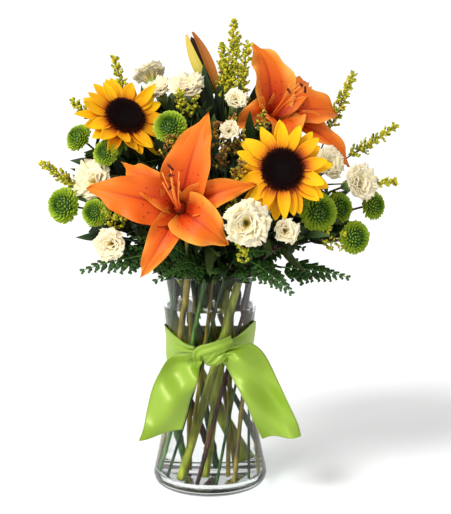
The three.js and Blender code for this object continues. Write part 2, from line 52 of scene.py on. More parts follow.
class Paint:
    # The nodes of one material. Each step gives back the socket that later steps read.
    def __init__(self, name):
        self.material = bpy.data.materials.new(name)
        self.material.use_nodes = True
        self.tree = self.material.node_tree
        self.tree.nodes.clear()

    def node(self, kind, inputs=None, **settings):
        # an input that is a socket is linked, and any other is set
        node = self.tree.nodes.new(kind)
        for key, value in settings.items():
            setattr(node, key, value)
        for key, value in (inputs or {}).items():
            if isinstance(value, bpy.types.NodeSocket):
                self.tree.links.new(value, node.inputs[key])
            else:
                node.inputs[key].default_value = value
        return node

    def calc(self, operation, a, b=0.0, c=0.0):
        # one sum of up to three terms
        return self.node("ShaderNodeMath", {0: a, 1: b, 2: c}, operation=operation).outputs[0]

    def mixed(self, share, first, second):
        # first (1 - share) + second share
        return self.node("ShaderNodeMix", {"Factor": share, 6: first, 7: second}, data_type="RGBA").outputs[2]

    def ramp(self, place, stops):
        # straight from stop to stop, each a place and a colour
        node = self.node("ShaderNodeValToRGB", {0: place})
        elements = node.color_ramp.elements
        while len(elements) < len(stops):
            elements.new(0.5)
        for element, (at, colour) in zip(elements, stops):
            element.position = at
            element.color = linear(colour)
        return node.outputs[0]

    def stretched(self, place, scale):
        # place times scale, axis by axis
        return self.node("ShaderNodeMapping", {"Vector": place, "Scale": scale}).outputs[0]

    def noise(self, place, scale, detail):
        return self.node("ShaderNodeTexNoise", {"Vector": place, "Scale": scale, "Detail": detail}).outputs[0]

    def bump(self, height, strength, distance):
        return self.node("ShaderNodeBump", {
            "Height": height, "Strength": strength, "Distance": distance}).outputs[0]

    def petalPlace(self):
        # where on its petal a point lies: as a vector, from edge to edge, and from base to tip
        uv = self.node("ShaderNodeUVMap", uv_map="petalUV").outputs[0]
        parts = self.node("ShaderNodeSeparateXYZ", {0: uv}).outputs
        return uv, parts[0], parts[1]

    def shade(self):
        # the numbers that bladeShade stores: chance, depth and underside
        data = self.node("ShaderNodeAttribute", attribute_name="shade")
        return list(self.node("ShaderNodeSeparateColor", {0: data.outputs["Color"]}).outputs)

    def finish(self, shader):
        # the surface is what shader gives
        self.node("ShaderNodeOutputMaterial", {"Surface": shader.outputs[0]})
        return self.material

    def skin(self, inputs):
        return self.finish(self.node("ShaderNodeBsdfPrincipled", inputs))


def unit(vectors):
    # each vector divided by its own length
    vectors = np.asarray(vectors, float)
    return vectors / np.maximum(np.linalg.norm(vectors, axis=-1, keepdims=True), 1e-12)


def sideOf(direction, hint=(0, 0, 1)):
    # a unit vector square to direction, level where it can be
    direction = unit(direction)
    side = np.cross(np.broadcast_to(hint, direction.shape), direction)
    weak = np.linalg.norm(side, axis=-1, keepdims=True) < 1e-6
    return unit(np.where(weak, np.broadcast_to((1.0, 0, 0), direction.shape), side))


def smooth(t, low=0.0, high=1.0):
    # 0 below low, 1 above high, and an S curve between
    t = np.clip((np.asarray(t, float) - low) / (high - low), 0, 1)
    return t * t * (3 - 2 * t)


def spline(points, count):
    # uniform Catmull-Rom curve through the points, with its end points doubled, at count even steps
    points = np.asarray(points, float)
    padded = np.vstack([points[:1], points, points[-1:]])
    t = np.linspace(0, len(points) - 1, count)
    k = np.minimum(t.astype(int), len(points) - 2)
    f = (t - k)[:, None]
    a, b, c, d = padded[k], padded[k + 1], padded[k + 2], padded[k + 3]
    return 0.5 * (2 * b + (c - a) * f + (2 * a - 5 * b + 4 * c - d) * f**2 + (3 * b - a - 3 * c + d) * f**3)


def bezier(a, b, c, d, count):
    # cubic Bezier curve at count even steps of its parameter
    t = np.linspace(0, 1, count)[:, None]
    a, b, c, d = (np.asarray(p, float) for p in (a, b, c, d))
    return (1 - t)**3 * a + 3 * t * (1 - t)**2 * b + 3 * t * t * (1 - t) * c + t**3 * d


class Shell:
    # Collects the closed surfaces of one piece. Each surface is a stack of rings, with a point at each
    # end, or, where ends is None, with its first and last ring closed flat from one side to the other.
    def __init__(self):
        self.verts, self.corners, self.sizes, self.uvs, self.shades = [], [], [], [], []
        self.count = 0

    def add(self, rings, ends, v=None, u=None, shade=(0.5, 0.5, 0, 1)):
        # rings is (copies, rows, around, 3), ends (copies, 2, 3), v and u the UV along and across, and
        # shade (copies, 4): chance, depth and underside, or (copies, rows, around, 4)
        copies, rows, around, _ = rings.shape
        across = np.linspace(0, 1, around, endpoint=False) if u is None else u
        along = np.linspace(0, 1, rows) if v is None else v
        uv = np.zeros((copies, rows, around, 2))
        uv[..., 0] = across
        uv[..., 1] = along[:, None] if np.ndim(along) == 1 else along
        shade = np.asarray(shade, float)
        if shade.ndim < 3:
            shade = np.broadcast_to(shade.reshape(-1, 1, 1, 4), (copies, rows, around, 4))
        shade = np.broadcast_to(shade, (copies, rows, around, 4))
        verts, uv, shade = (a.reshape(copies, rows * around, -1) for a in (rings, uv, shade))
        j = np.arange(around)
        i = np.arange(rows - 1)[:, None] * around
        nextJ = (j + 1) % around
        quads = np.stack([i + j, i + nextJ, i + around + nextJ, i + around + j], -1).reshape(-1, 4)
        last = (rows - 1) * around
        low, high = rows * around, rows * around + 1
        if ends is None:
            k = np.arange(1, around // 2 - 1)
            caps = np.stack([k, around - k, around - k - 1, k + 1], -1)
            quads = np.vstack([quads, caps, last + caps[:, ::-1]])
            tri = np.array([(0, around - 1, 1), (around // 2 - 1, around // 2 + 1, around // 2)])
            tris = np.vstack([tri, last + tri[:, ::-1]])
        else:
            tris = np.vstack([
                np.stack([np.full(around, low), nextJ, j], -1),
                np.stack([np.full(around, high), last + j, last + nextJ], -1)])
            verts = np.concatenate([verts, ends.reshape(copies, 2, 3)], 1)
            uv, shade = (np.concatenate([a, a[:, :around].mean(1, keepdims=True),
                                         a[:, last:].mean(1, keepdims=True)], 1) for a in (uv, shade))
        first = verts[0] - verts[0].mean(0)
        cornersOf = np.vstack([tris, quads[:, [0, 1, 2]], quads[:, [0, 2, 3]]])
        volume = np.einsum("ij,ij->i", first[cornersOf[:, 0]],
                           np.cross(first[cornersOf[:, 1]], first[cornersOf[:, 2]])).sum()
        if volume < 0:  # turn the faces outwards
            quads, tris = quads[:, ::-1], tris[:, ::-1]
        offsets = self.count + np.arange(copies)[:, None, None] * verts.shape[1]
        self.corners += [(quads[None] + offsets).ravel(), (tris[None] + offsets).ravel()]
        self.sizes += [np.full(len(quads) * copies, 4), np.full(len(tris) * copies, 3)]
        self.verts.append(verts.reshape(-1, 3))
        self.uvs.append(uv.reshape(-1, 2))
        self.shades.append(shade.reshape(-1, 4))
        self.count += verts.shape[1] * copies


def makePiece(name, shell, material, replaces=()):
    # one object from all that the shell collected, with its UV, shade colours and place in the frame
    mesh = bpy.data.meshes.new(name)
    verts = np.concatenate(shell.verts)
    corners = np.concatenate(shell.corners).astype(np.int32)
    sizes = np.concatenate(shell.sizes).astype(np.int32)
    mesh.vertices.add(len(verts))
    mesh.vertices.foreach_set("co", verts.astype(np.float32).ravel())
    mesh.loops.add(len(corners))
    mesh.loops.foreach_set("vertex_index", corners)
    mesh.polygons.add(len(sizes))
    mesh.polygons.foreach_set("loop_start", np.concatenate([[0], np.cumsum(sizes)[:-1]]).astype(np.int32))
    mesh.update(calc_edges=True)
    mesh.shade_smooth()
    layer = mesh.uv_layers.new(name="petalUV")
    layer.data.foreach_set("uv", np.concatenate(shell.uvs)[corners].astype(np.float32).ravel())
    shade = mesh.attributes.new("shade", "FLOAT_COLOR", "POINT")
    shade.data.foreach_set("color", np.concatenate(shell.shades).astype(np.float32).ravel())
    mesh.materials.append(material)
    piece = bpy.data.objects.new(name, mesh)
    bpy.context.scene.collection.objects.link(piece)
    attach(piece, "root")
    if replaces:
        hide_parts(*replaces)
    return piece


def spoke(angle, axes):
    # directions round a flower: axes[0] cos(angle) + axes[1] sin(angle)
    return np.cos(angle)[..., None] * axes[0] + np.sin(angle)[..., None] * axes[1]


def each(rng, low, high, count):
    # one chance value for each blade, shaped to go with its rows and the points round them
    return rng.uniform(low, high, (count, 1, 1))


def skinThickness(t, thick, margin=0.02):
    # half thickness of a blade, in metres: thick sin(pi t)^0.4, with t kept margin away from both ends
    return thick * mm * np.sin(math.pi * np.clip(t, margin, 1 - margin))**0.4


def addBlades(shell, start, along, side, shape, rows, around, chance, depth, length=1.0):
    # Petals or leaves of lens section. Each starts at start and runs along its own direction with
    # its own side direction. shape(t, s) gives, for t from base to tip and s from edge to edge, the
    # distance along, across and above and the half thickness, in metres. The paint reads chance, depth
    # and length t.
    start, along, side = (np.asarray(a, float)[:, None, None] for a in (start, along, side))
    above = unit(np.cross(along, side))
    angle = np.linspace(0, turn, around, endpoint=False)
    s = np.cos(angle)
    t = np.linspace(0, 1, rows + 2)[:, None]
    forward, across, height, thick = shape(t, s[None])
    height = height + thick * np.sin(angle)[None]
    grid = start + along * forward[..., None] + side * across[..., None] + above * height[..., None]
    ends = np.stack([grid[:, 0].mean(1), grid[:, -1].mean(1)], 1)
    shell.add(grid[:, 1:-1], ends, t[1:-1, 0] * length, (s + 1) / 2,
              bladeShade(chance, depth, np.sin(angle) < -0.01, rows))


def bladeShade(chance, depth, under, rows):
    # the shade colours of a set of blades: chance and depth for each blade, underside round the section
    shade = np.ones((len(chance), rows, len(under), 4))
    shade[..., 0] = np.reshape(chance, (-1, 1, 1))
    shade[..., 1] = np.reshape(depth, (-1, 1, 1))
    shade[..., 2] = under
    return shade


def tube(path, radius, around=12, ribs=0, ribDepth=0.0):
    # A round tube along a path: at each point a ring square to the path, turned as little as possible,
    # with radius times 1 + ribDepth cos(ribs angle).
    path = np.asarray(path, float)
    ahead = unit(np.gradient(path, axis=0))
    side = np.empty_like(path)
    side[0] = sideOf(ahead[0], (0.31, 0.95, 0))
    for k in range(1, len(path)):  # one step for each point of the path
        side[k] = unit(side[k - 1] - ahead[k] * np.dot(side[k - 1], ahead[k]))
    other = np.cross(ahead, side)
    angle = np.linspace(0, turn, around, endpoint=False)
    reach = np.broadcast_to(radius, (len(path),))[:, None] * (1 + ribDepth * np.cos(ribs * angle))
    rings = (path[:, None] + reach[..., None] * (side[:, None] * np.cos(angle)[:, None]
                                                 + other[:, None] * np.sin(angle)[:, None]))
    return rings[None], np.stack([path[0], path[-1]])[None]


def lathe(profile, around=72, centre=(0, 0, 0), axis=(0, 0, 1)):
    # profile rows of (radius, height) turned about axis through centre; it starts and ends on the axis
    profile = np.asarray(profile, float)
    axis = unit(axis)
    side = sideOf(axis, (0.2, 0.3, 0.9) if abs(axis[2]) < 0.9 else (0, 1, 0))
    other = np.cross(axis, side)
    angle = np.linspace(0, turn, around, endpoint=False)[:, None]
    circle = side * np.cos(angle) + other * np.sin(angle)
    body = profile[1:-1]
    rings = np.asarray(centre) + body[:, 0, None, None] * circle + body[:, 1, None, None] * axis
    ends = np.asarray(centre) + profile[[0, -1], 1][:, None] * axis
    return rings[None], ends[None]


# camera, light and floor

view = {"place": (15.5, -1600, 520), "pitch": 10.2, "focal": 114.9}
light = {
    "sunStrength": 2.1, "sunAngle": 18, "sunTurn": (48, 0, -38),
    "world": 0.74, "panel": 6.0,
}


def makeStage():
    # camera, pale surroundings, sun, side panel and floor
    scene = bpy.context.scene
    cameraData = bpy.data.cameras.new("camera")
    cameraData.lens = view["focal"]
    cameraData.sensor_width = 36
    cameraData.clip_end = 200
    camera = bpy.data.objects.new("camera", cameraData)
    camera.location = [c * mm for c in view["place"]]
    camera.rotation_euler = (math.radians(90 - view["pitch"]), 0, 0)
    scene.collection.objects.link(camera)
    scene.camera = camera
    scene.view_settings.view_transform = "Standard"

    world = bpy.data.worlds.new("paleStudio")
    world.use_nodes = True
    background = world.node_tree.nodes["Background"]
    background.inputs["Color"].default_value = linear("#FFFFFF")
    background.inputs["Strength"].default_value = light["world"]
    scene.world = world

    sun = bpy.data.lights.new("keyLight", "SUN")
    sun.energy = light["sunStrength"]
    sun.angle = math.radians(light["sunAngle"])
    sunObject = bpy.data.objects.new("keyLight", sun)
    sunObject.rotation_euler = [math.radians(a) for a in light["sunTurn"]]
    scene.collection.objects.link(sunObject)

    panel = bpy.data.lights.new("sidePanel", "AREA")
    panel.shape = "RECTANGLE"
    panel.size, panel.size_y = 0.5, 1.1
    panel.energy = light["panel"]
    panelObject = bpy.data.objects.new("sidePanel", panel)
    panelObject.location = (-1.15, -0.75, 0.75)
    panelObject.rotation_euler = (math.radians(76), 0, math.radians(-57))
    scene.collection.objects.link(panelObject)

    reach = 40.0
    mesh = bpy.data.meshes.new("floor")
    mesh.from_pydata([(-reach, -reach, 0), (reach, -reach, 0), (reach, reach, 0), (-reach, reach, 0)], [],
                     [(0, 1, 2, 3)])
    mesh.materials.append(Paint("mattWhitePaper").skin({"Base Color": linear("#FBFBFB"), "Roughness": 0.95}))
    floor = bpy.data.objects.new("floor", mesh)
    scene.collection.objects.link(floor)


makeStage()
print("camera, light and floor ready")


# vase and water

vase = {
    "height": 220, "wall": 3.0, "floor": 8, "foot": 46, "heel": 57, "waist": 42, "waistRise": 128,
    "rim": 53, "around": 112,
}
water = {"level": 184, "gap": -0.05, "meniscus": 1.1}


def outerWall(count=60):
    # the outside of the glass from heel to rim, rows of (radius, height) on one smooth curve
    v = vase
    return spline([
        (v["heel"], 14), (v["heel"] - 7, 48), (v["waist"] + 1.5, 92), (v["waist"], v["waistRise"]),
        (v["waist"] + 2.5, 168), (v["rim"] - 4.5, v["height"] - 20), (v["rim"], v["height"] - 1.5)], count)


wallRows = outerWall()


def glassRadius(z):
    # the outside radius of the glass at height z
    return np.interp(z, wallRows[:, 1], wallRows[:, 0])


def arc(centre, radius, start, stop, count):
    # rows of (radius, height) on an arc, with angles in degrees from the outward direction
    angle = np.radians(np.linspace(start, stop, count))
    return np.stack([centre[0] + radius * np.cos(angle), centre[1] + radius * np.sin(angle)], 1)


def clearSolid(name, colour, shadow, roughness, index):
    # a smooth colourless solid that bends light by its index of refraction. Shadow rays go straight
    # through it and take on its shadow colour
    paint = Paint(name)
    body = paint.node("ShaderNodeBsdfPrincipled", {
        "Base Color": linear(colour), "Roughness": roughness, "IOR": index, "Transmission Weight": 1.0,
        "Specular Tint": linear("#6A6A6A")})
    clear = paint.node("ShaderNodeBsdfTransparent", {"Color": linear(shadow)})
    path = paint.node("ShaderNodeLightPath")
    return paint.finish(paint.node("ShaderNodeMixShader", {
        0: path.outputs["Is Shadow Ray"], 1: body.outputs[0], 2: clear.outputs[0]}))


def makeVase():
    # a lathe: flat underside, round heel, waisted wall, fire-polished lip, inner wall and thick floor
    v = vase
    heights = np.linspace(v["height"] - 8, v["floor"] + 9, 44)
    inside = np.stack([glassRadius(heights) - v["wall"], heights], 1)
    half = v["wall"] / 2
    profile = np.vstack([
        [(0, 1.2), (v["foot"] * 0.5, 0.9), (v["foot"] - 3, 0)],
        [(v["foot"], 0)],
        spline([(v["foot"] + 2, 0.2), (v["heel"] - 3, 4.2), (v["heel"] - 0.3, 10), (v["heel"], 14)], 10),
        wallRows[1:],
        arc((v["rim"] - half, v["height"] - half), half, 10, 170, 9),
        inside,
        spline([(v["foot"] + 3.6, v["floor"] + 5), (v["foot"] + 1, v["floor"] + 1.4),
                (v["foot"] - 6, v["floor"])], 7),
        [(0, v["floor"])]]) * mm
    shell = Shell()
    shell.add(*lathe(profile, v["around"]))
    glass = clearSolid("pressedSodaLimeGlass", "#F9FAFA", "#EEF1F1", 0.012, 1.5)
    makePiece("glassVase", shell, glass, ["vase"])


def makeWater():
    # fills the vase to its level, with a small meniscus where it climbs the glass. It reaches a hair
    # into the wall, because light goes from glass straight into water with no air between them
    v, w = vase, water
    inner = v["wall"] + w["gap"]
    heights = np.linspace(v["floor"] + 9, w["level"], 40)
    side = np.stack([glassRadius(heights) - inner, heights], 1)
    top = glassRadius(w["level"]) - inner
    profile = np.vstack([
        [(0, v["floor"] + w["gap"]), (v["foot"] - 6, v["floor"] + w["gap"])],
        [(v["foot"] + 1 - w["gap"], v["floor"] + 1.4 + w["gap"])],
        [(v["foot"] + 3.6 - w["gap"], v["floor"] + 5)],
        side,
        [(top, w["level"] + w["meniscus"]), (top - 1.5, w["level"] + 0.35), (top - 4, w["level"])],
        [(0, w["level"])]]) * mm
    shell = Shell()
    shell.add(*lathe(profile, v["around"]))
    tapWater = clearSolid("clearTapWater", "#FAFBFA", "#F6F8F6", 0.0, 1.333)
    makePiece("vaseWater", shell, tapWater, ["water"])


makeVase()
makeWater()
print("vase and water ready")


# stems

gap = 0.4
spiral = {"twist": 82, "ring": 42.3, "outer": (15, -120, 1.0), "inner": (6, -20, 0.47)}


def greenStem(name, pale, deep, dark):
    # a fresh cut stem: waxy skin over fine ribs, mottled by (long streaks + wide patches) / 2
    paint = Paint(name)
    place = paint.node("ShaderNodeTexCoord").outputs["Object"]
    streak = paint.noise(paint.stretched(place, (260, 260, 24)), 1.0, 4.0)
    mottle = paint.calc("MULTIPLY", paint.calc("ADD", streak, paint.noise(place, 34.0, 2.0)), 0.5)
    return paint.skin({
        "Base Color": paint.ramp(mottle, [(0.38, dark), (0.5, deep), (0.62, pale)]), "Roughness": 0.45,
        "Normal": paint.bump(streak, 0.35, 0.0004), "Subsurface Weight": 0.08, "Subsurface Scale": 0.002})


stemFinish = {
    "yellow": greenStem("yellowGreenStem", "#B9BC3A", "#8E961F", "#5F6A14"),
    "olive": greenStem("oliveStem", "#A08A2C", "#74661A", "#4A4210"),
    "green": greenStem("midGreenStem", "#5E8A2C", "#3F6A1C", "#234212"),
    "dark": greenStem("darkGreenStem", "#33561F", "#1F3D16", "#11260C"),
    "maroon": greenStem("maroonStem", "#5A2A1C", "#38160E", "#1C0A06"),
}


def aboveRim(place):
    # x, y and height above the rim, to x, y and z
    return np.array([place[0], place[1], vase["height"] + place[2]], float)


def spiralLine(ring, place, radius):
    # foot and top, in mm, of the straight stretch that a stem has inside the vase
    count, start, share = spiral[ring]
    angle = math.radians(start + place * 360 / count)
    low = angle - math.radians(spiral["twist"])
    reach = spiral["ring"] * share
    foot = np.array([reach * math.cos(low), reach * math.sin(low), vase["floor"] + radius + gap])
    top = np.array([reach * math.cos(angle), reach * math.sin(angle), vase["height"] - 4])
    return foot, top


def stemPath(ring, place, radius, tip, face, rows=70):
    # straight up through the water, then on one Bezier curve to the bloom, which it meets along face
    foot, top = spiralLine(ring, place, radius)
    leave = unit(top - foot)
    reach = np.linalg.norm(top - tip) * 0.4
    bent = bezier(top, top + leave * reach, tip - unit(face) * reach, tip, rows // 2)
    straight = foot + (top - foot) * np.linspace(0, 1, rows // 2, endpoint=False)[:, None]
    return np.vstack([straight, bent])


def addStem(shell, path, radius, nodesEvery=0.0, taper=0.8, ribs=9, ribDepth=0.05, around=18):
    # path in mm; radius thins towards the bloom and swells at a node every nodesEvery mm
    steps = np.linalg.norm(np.diff(path, axis=0), axis=1)
    along = np.concatenate([[0], np.cumsum(steps)])
    thick = radius * (1 + (taper - 1) * along / along[-1])
    if nodesEvery:
        phase = (along % nodesEvery) - nodesEvery / 2
        thick = thick * (1 + 0.32 * np.exp(-(phase / 2.4)**2))
    rings, ends = tube(path * mm, thick * mm, around, ribs, ribDepth)
    shell.add(rings, ends, v=along / 100)


def twigPath(start, tip, face, rows=16):
    # a side branch that leaves straight for its bloom and meets it along face
    reach = np.linalg.norm(tip - start) * 0.35
    return bezier(start, start + unit(tip - start) * reach, tip - unit(face) * reach, tip, rows)


heart = (0, 10, 20)
turnOut = {"times": 2.2, "front": 80, "back": 40, "divide": 30}


def outward(place):
    # blooms face away from the heart and turn further to the front, or behind the divide to the back
    away = (aboveRim(place) - aboveRim(heart)) * (1, turnOut["times"], 1)
    away[1] += -turnOut["front"] if place[1] < turnOut["divide"] else turnOut["back"]
    return unit(away)


def forkRise(fork):
    # a spray's stem meets its fork steeply: 90 up for the fork's own distance from the axis
    return unit((fork[0], fork[1], 90))


def frameOf(face):
    # right, upward and face directions of a flower: the axes turned by the least angle that brings Z
    # onto face, with v = Z x face and R p = p + v x p + v x (v x p) / (1 + Z . face)
    face = unit(face)
    v = np.cross((0, 0, 1), face)
    axes = np.eye(3)
    once = np.cross(v, axes)
    return axes + once + np.cross(v, once) / (1 + face[2])


def strips(middle, across, half, rise, thick, around=16):
    # Petals or leaves along curved middle lines. middle and across are (copies, rows, 3), half and thick
    # (copies, rows) the half width and half thickness, and rise(s) gives (copies, rows, around) heights
    # above the middle line for s from edge to edge. The thickness fades at the edges as sin(angle).
    ahead = unit(np.gradient(middle, axis=1))
    above = unit(np.cross(ahead, across))
    angle = np.linspace(0, turn, around, endpoint=False)
    s = np.cos(angle)
    height = rise(s) + thick[..., None] * np.sin(angle)
    grid = (middle[:, :, None] + across[:, :, None] * (half[..., None] * s)[..., None]
            + above[:, :, None] * height[..., None])
    return grid, (s + 1) / 2, (np.sin(angle) < -0.01).astype(float)


def petalPaint(name, stops, mottle=0.08, vein=0.1, veinScale=(70, 2.2, 1), under=None, roughness=0.5,
               ribHeight=0.0004, glow=0.08, gloss=0.22):
    # petal skin: the colour is read at t + vein (lines - 0.5) + mottle (chance - 0.5), for t from base
    # to tip, fine lines along the petal and one chance for each petal, and is mixed with under below
    paint = Paint(name)
    uv, _, along = paint.petalPlace()
    chance, _, underside = paint.shade()
    lines = paint.noise(paint.stretched(uv, veinScale), 1.0, 3.0)
    place = paint.calc("MULTIPLY_ADD", paint.calc("SUBTRACT", lines, 0.5), vein, along)
    place = paint.calc("MULTIPLY_ADD", paint.calc("SUBTRACT", chance, 0.5), mottle, place)
    colour = paint.ramp(place, stops)
    if under:
        colour = paint.mixed(underside, colour, linear(under))
    return paint.skin({
        "Base Color": colour, "Roughness": roughness, "Normal": paint.bump(lines, 0.5, ribHeight),
        "Subsurface Weight": glow, "Subsurface Scale": 0.003, "Specular IOR Level": gloss})


def buds(centres, axes, radius, height, shape, around=6):
    # small closed spindles: shape is rows of (height share, radius share), set on centres along axes
    axes = unit(axes)
    side = sideOf(axes, (0.37, 0.21, 0.9))
    other = np.cross(axes, side)
    angle = np.linspace(0, turn, around, endpoint=False)
    rows = np.asarray(shape, float)
    radius = np.broadcast_to(radius, (len(centres),))[:, None, None, None]
    height = np.broadcast_to(height, (len(centres),))[:, None, None, None]
    circle = side[:, None, None] * np.cos(angle)[:, None] + other[:, None, None] * np.sin(angle)[:, None]
    base = np.asarray(centres)[:, None, None]
    up = axes[:, None, None]
    rings = base + circle * radius * rows[1:-1, 1, None, None] + up * height * rows[1:-1, 0, None, None]
    ends = (base + up * height * rows[[0, -1], 0][:, None, None])[:, :, 0]
    return rings, ends


def dome(count, radius, start=0):
    # phyllotaxis: the k-th place lies at radius sqrt(k / count), turned on by the golden angle
    k = np.arange(count) + 0.5
    return radius * np.sqrt(k / count), k * golden + start


# sunflowers

sunflower = {
    "disc": 20, "depth": 18, "reach": 46, "florets": 560, "stem": 4.0,
    "layers": [(15, 1.04, -0.08, 0.0), (14, 0.94, 0.14, 0.17)],  # rays, length share, lift and turn
    "rayWidth": 8.0, "bracts": 26,
    "flowers": {
        "Left": {"node": "left", "at": (-81, -30, 154), "face": (0.35, -0.68, 0.62), "ring": ("outer", 11),
                 "finish": "yellow", "seed": 11},
        "Right": {"node": "right", "at": (68, -92, 111), "face": (0, -0.97, 0.2), "ring": ("outer", 3),
                  "finish": "yellow", "seed": 5},
    },
}


def sunflowerDisc():
    # tightly packed florets: near-black brown buds in the middle, rusty open ones at the edge
    paint = Paint("sunflowerFlorets")
    chance, share, _ = paint.shade()
    colour = paint.ramp(paint.calc("MULTIPLY_ADD", chance, 0.1, share), [
        (0.0, "#0A0102"), (0.5, "#100203"), (0.86, "#1C0504"), (0.98, "#4A1C0A"), (1.0, "#7A3A12")])
    return paint.skin({"Base Color": colour, "Roughness": 0.8, "Specular IOR Level": 0.12})


rayPetal = petalPaint("sunflowerRay", [
    (0.0, "#7E2A0A"), (0.14, "#B8580A"), (0.3, "#E08C06"), (0.5, "#EEA606"), (0.8, "#F2B408"),
    (1.0, "#F4C010")],
    mottle=0.34, vein=0.34, veinScale=(9, 1.4, 1), roughness=0.6, ribHeight=0.0012, glow=0.04, gloss=0.15)
discFloret = sunflowerDisc()
greenLeaf = petalPaint("greenBract", [(0.0, "#3C5A22"), (0.5, "#4E7429"), (1.0, "#6C8F37")],
                       mottle=0.4, vein=0.3, veinScale=(16, 1.5, 1), under="#6E8B4A", roughness=0.55,
                       glow=0.05)


def raySet(shell, centre, axes, layer, rng):
    # one ring of rays, at even steps round the disc, each with a chance of its own in every measure
    count, share, lift, start = layer
    s = sunflower
    angle = (np.arange(count) + start * 3) / count * turn + rng.uniform(-0.13, 0.13, count)
    radial = spoke(angle, axes)
    tilt = lift + rng.uniform(-0.24, 0.22, count)
    along = unit(radial * np.cos(tilt)[:, None] + axes[2] * np.sin(tilt)[:, None])
    length = (s["reach"] - s["disc"] + 4) * share * each(rng, 0.86, 1.08, count) * mm
    width = s["rayWidth"] * each(rng, 0.82, 1.12, count) * mm
    curled = rng.uniform(0, 1, (count, 1, 1)) < 0.16
    bend = (each(rng, -2.5, 6.5, count) - 9.0 * curled) * mm
    lean = each(rng, -3.2, 3.2, count) * mm
    cup = each(rng, 0.1, 0.42, count)

    def shape(t, sideways):
        # a long oval with a drawn-out tip, two shallow grooves, cupped, its tip bent back by bend
        wide = width * np.sin(math.pi * np.clip(0.1 + 0.9 * t, 0, 1))**0.72 * (1 - 0.25 * t)
        groove = 0.6 * mm * np.cos(2.5 * math.pi * sideways) * np.sin(math.pi * t)
        height = wide * cup * sideways**2 + groove - bend * t**2.4
        return length * t, wide * sideways + lean * t**2, height, skinThickness(t, 0.28)

    origin = centre + radial * (s["disc"] - 3.5) * mm + axes[2] * (-1.2 + 6 * lift) * mm
    addBlades(shell, origin, along, np.cross(axes[2], radial), shape, 12, 14, rng.uniform(0, 1, count), 0.5)


def makeSunflower(name, flower):
    # four pieces: rays, disc, calyx and stem
    s = sunflower
    rng = np.random.default_rng(flower["seed"])
    axes = frameOf(flower["face"])
    centre = aboveRim(flower["at"]) * mm
    rays = Shell()
    for layer in s["layers"]:
        raySet(rays, centre, axes, layer, rng)
    makePiece(f"sunflower{name}Rays", rays, rayPetal, [f"sunflower_{flower['node']}_rays"])

    # the disc: a low dome of florets, tallest near its edge, on a dark core
    disc = Shell()
    radius, angle = dome(s["florets"], s["disc"] - 0.6)
    share = radius / s["disc"]
    rise = 3.4 + 2.2 * np.exp(-((share - 0.72) / 0.2)**2) - 1.4 * np.exp(-(share / 0.35)**2) - 4.6 * share**6
    radial = spoke(angle, axes)
    places = centre + (radial * radius[:, None] + axes[2] * rise[:, None]) * mm
    lean = axes[2] + radial * (1.1 * share**3)[:, None] + rng.normal(0, 0.1, (len(radius), 3))
    tall = (1.5 + 1.5 * smooth(share, 0.55, 0.95)) * rng.uniform(0.8, 1.25, len(radius))
    floret = [(-0.6, 0), (-0.3, 0.9), (0.35, 1.0), (0.8, 0.62), (1.0, 0)]
    rings, ends = buds(places, lean, 0.78 * mm, tall * mm, floret, around=5)
    shade = np.stack([rng.uniform(0, 1, len(radius)), share, 0 * share, 0 * share + 1], 1)
    disc.add(rings, ends, shade=shade)
    core = np.array([(0, -5), (s["disc"] - 1.5, -5), (s["disc"] - 0.2, -1), (s["disc"] - 2, 1.5),
                     (s["disc"] * 0.6, 4.2), (0, 2.6)]) * mm
    disc.add(*lathe(core, 40, centre, axes[2]), shade=(0.3, 0.3, 0, 1))
    makePiece(f"sunflower{name}Disc", disc, discFloret,
              [f"sunflower_{flower['node']}_head"])

    # the calyx: a green cup with two rows of pointed bracts, on its stem
    green = Shell()
    cup = np.array([(0, -s["depth"]), (s["stem"] + 1.2, -s["depth"]), (s["stem"] + 3, -s["depth"] + 2),
                    (s["disc"] - 5, -11), (s["disc"] - 0.5, -7.2), (s["disc"] - 1, -5.2), (0, -5.4)]) * mm
    green.add(*lathe(cup, 40, centre, axes[2]))
    count = s["bracts"]
    angle = (np.arange(count) + rng.uniform(-0.2, 0.2, count)) / count * turn
    radial = spoke(angle, axes)
    tilt = rng.uniform(-0.35, 0.3, count)
    along = unit(radial * np.cos(tilt)[:, None] + axes[2] * np.sin(tilt)[:, None])
    length = each(rng, 16, 25, count) * mm
    curl = each(rng, -2, 5, count) * mm

    def bract(t, sideways):
        # pointed, widest near its base, shallowly cupped, its tip bent back by curl
        wide = 4.4 * mm * np.sin(math.pi * np.clip(0.18 + 0.82 * t, 0, 1))**0.9 * (1 - 0.35 * t)
        height = wide * 0.25 * sideways**2 - curl * t * t
        return length * t, wide * sideways, height, skinThickness(t, 0.35, 0)

    origin = centre + radial * (s["disc"] - 6) * mm + axes[2] * -8.5 * mm
    addBlades(green, origin, along, np.cross(axes[2], radial), bract, 8, 10, rng.uniform(0, 1, count), 0.5)
    makePiece(f"sunflower{name}Calyx", green, greenLeaf)

    stem = Shell()
    tip = aboveRim(flower["at"]) - axes[2] * (s["depth"] - 0.5)
    addStem(stem, stemPath(*flower["ring"], s["stem"], tip, axes[2]), s["stem"], taper=0.85)
    makePiece(f"sunflower{name}Stem", stem, stemFinish[flower["finish"]],
              [f"sunflower_{flower['node']}_stem"])


for name, flower in sunflower["flowers"].items():
    makeSunflower(name, flower)
print("sunflowers ready")


# lilies

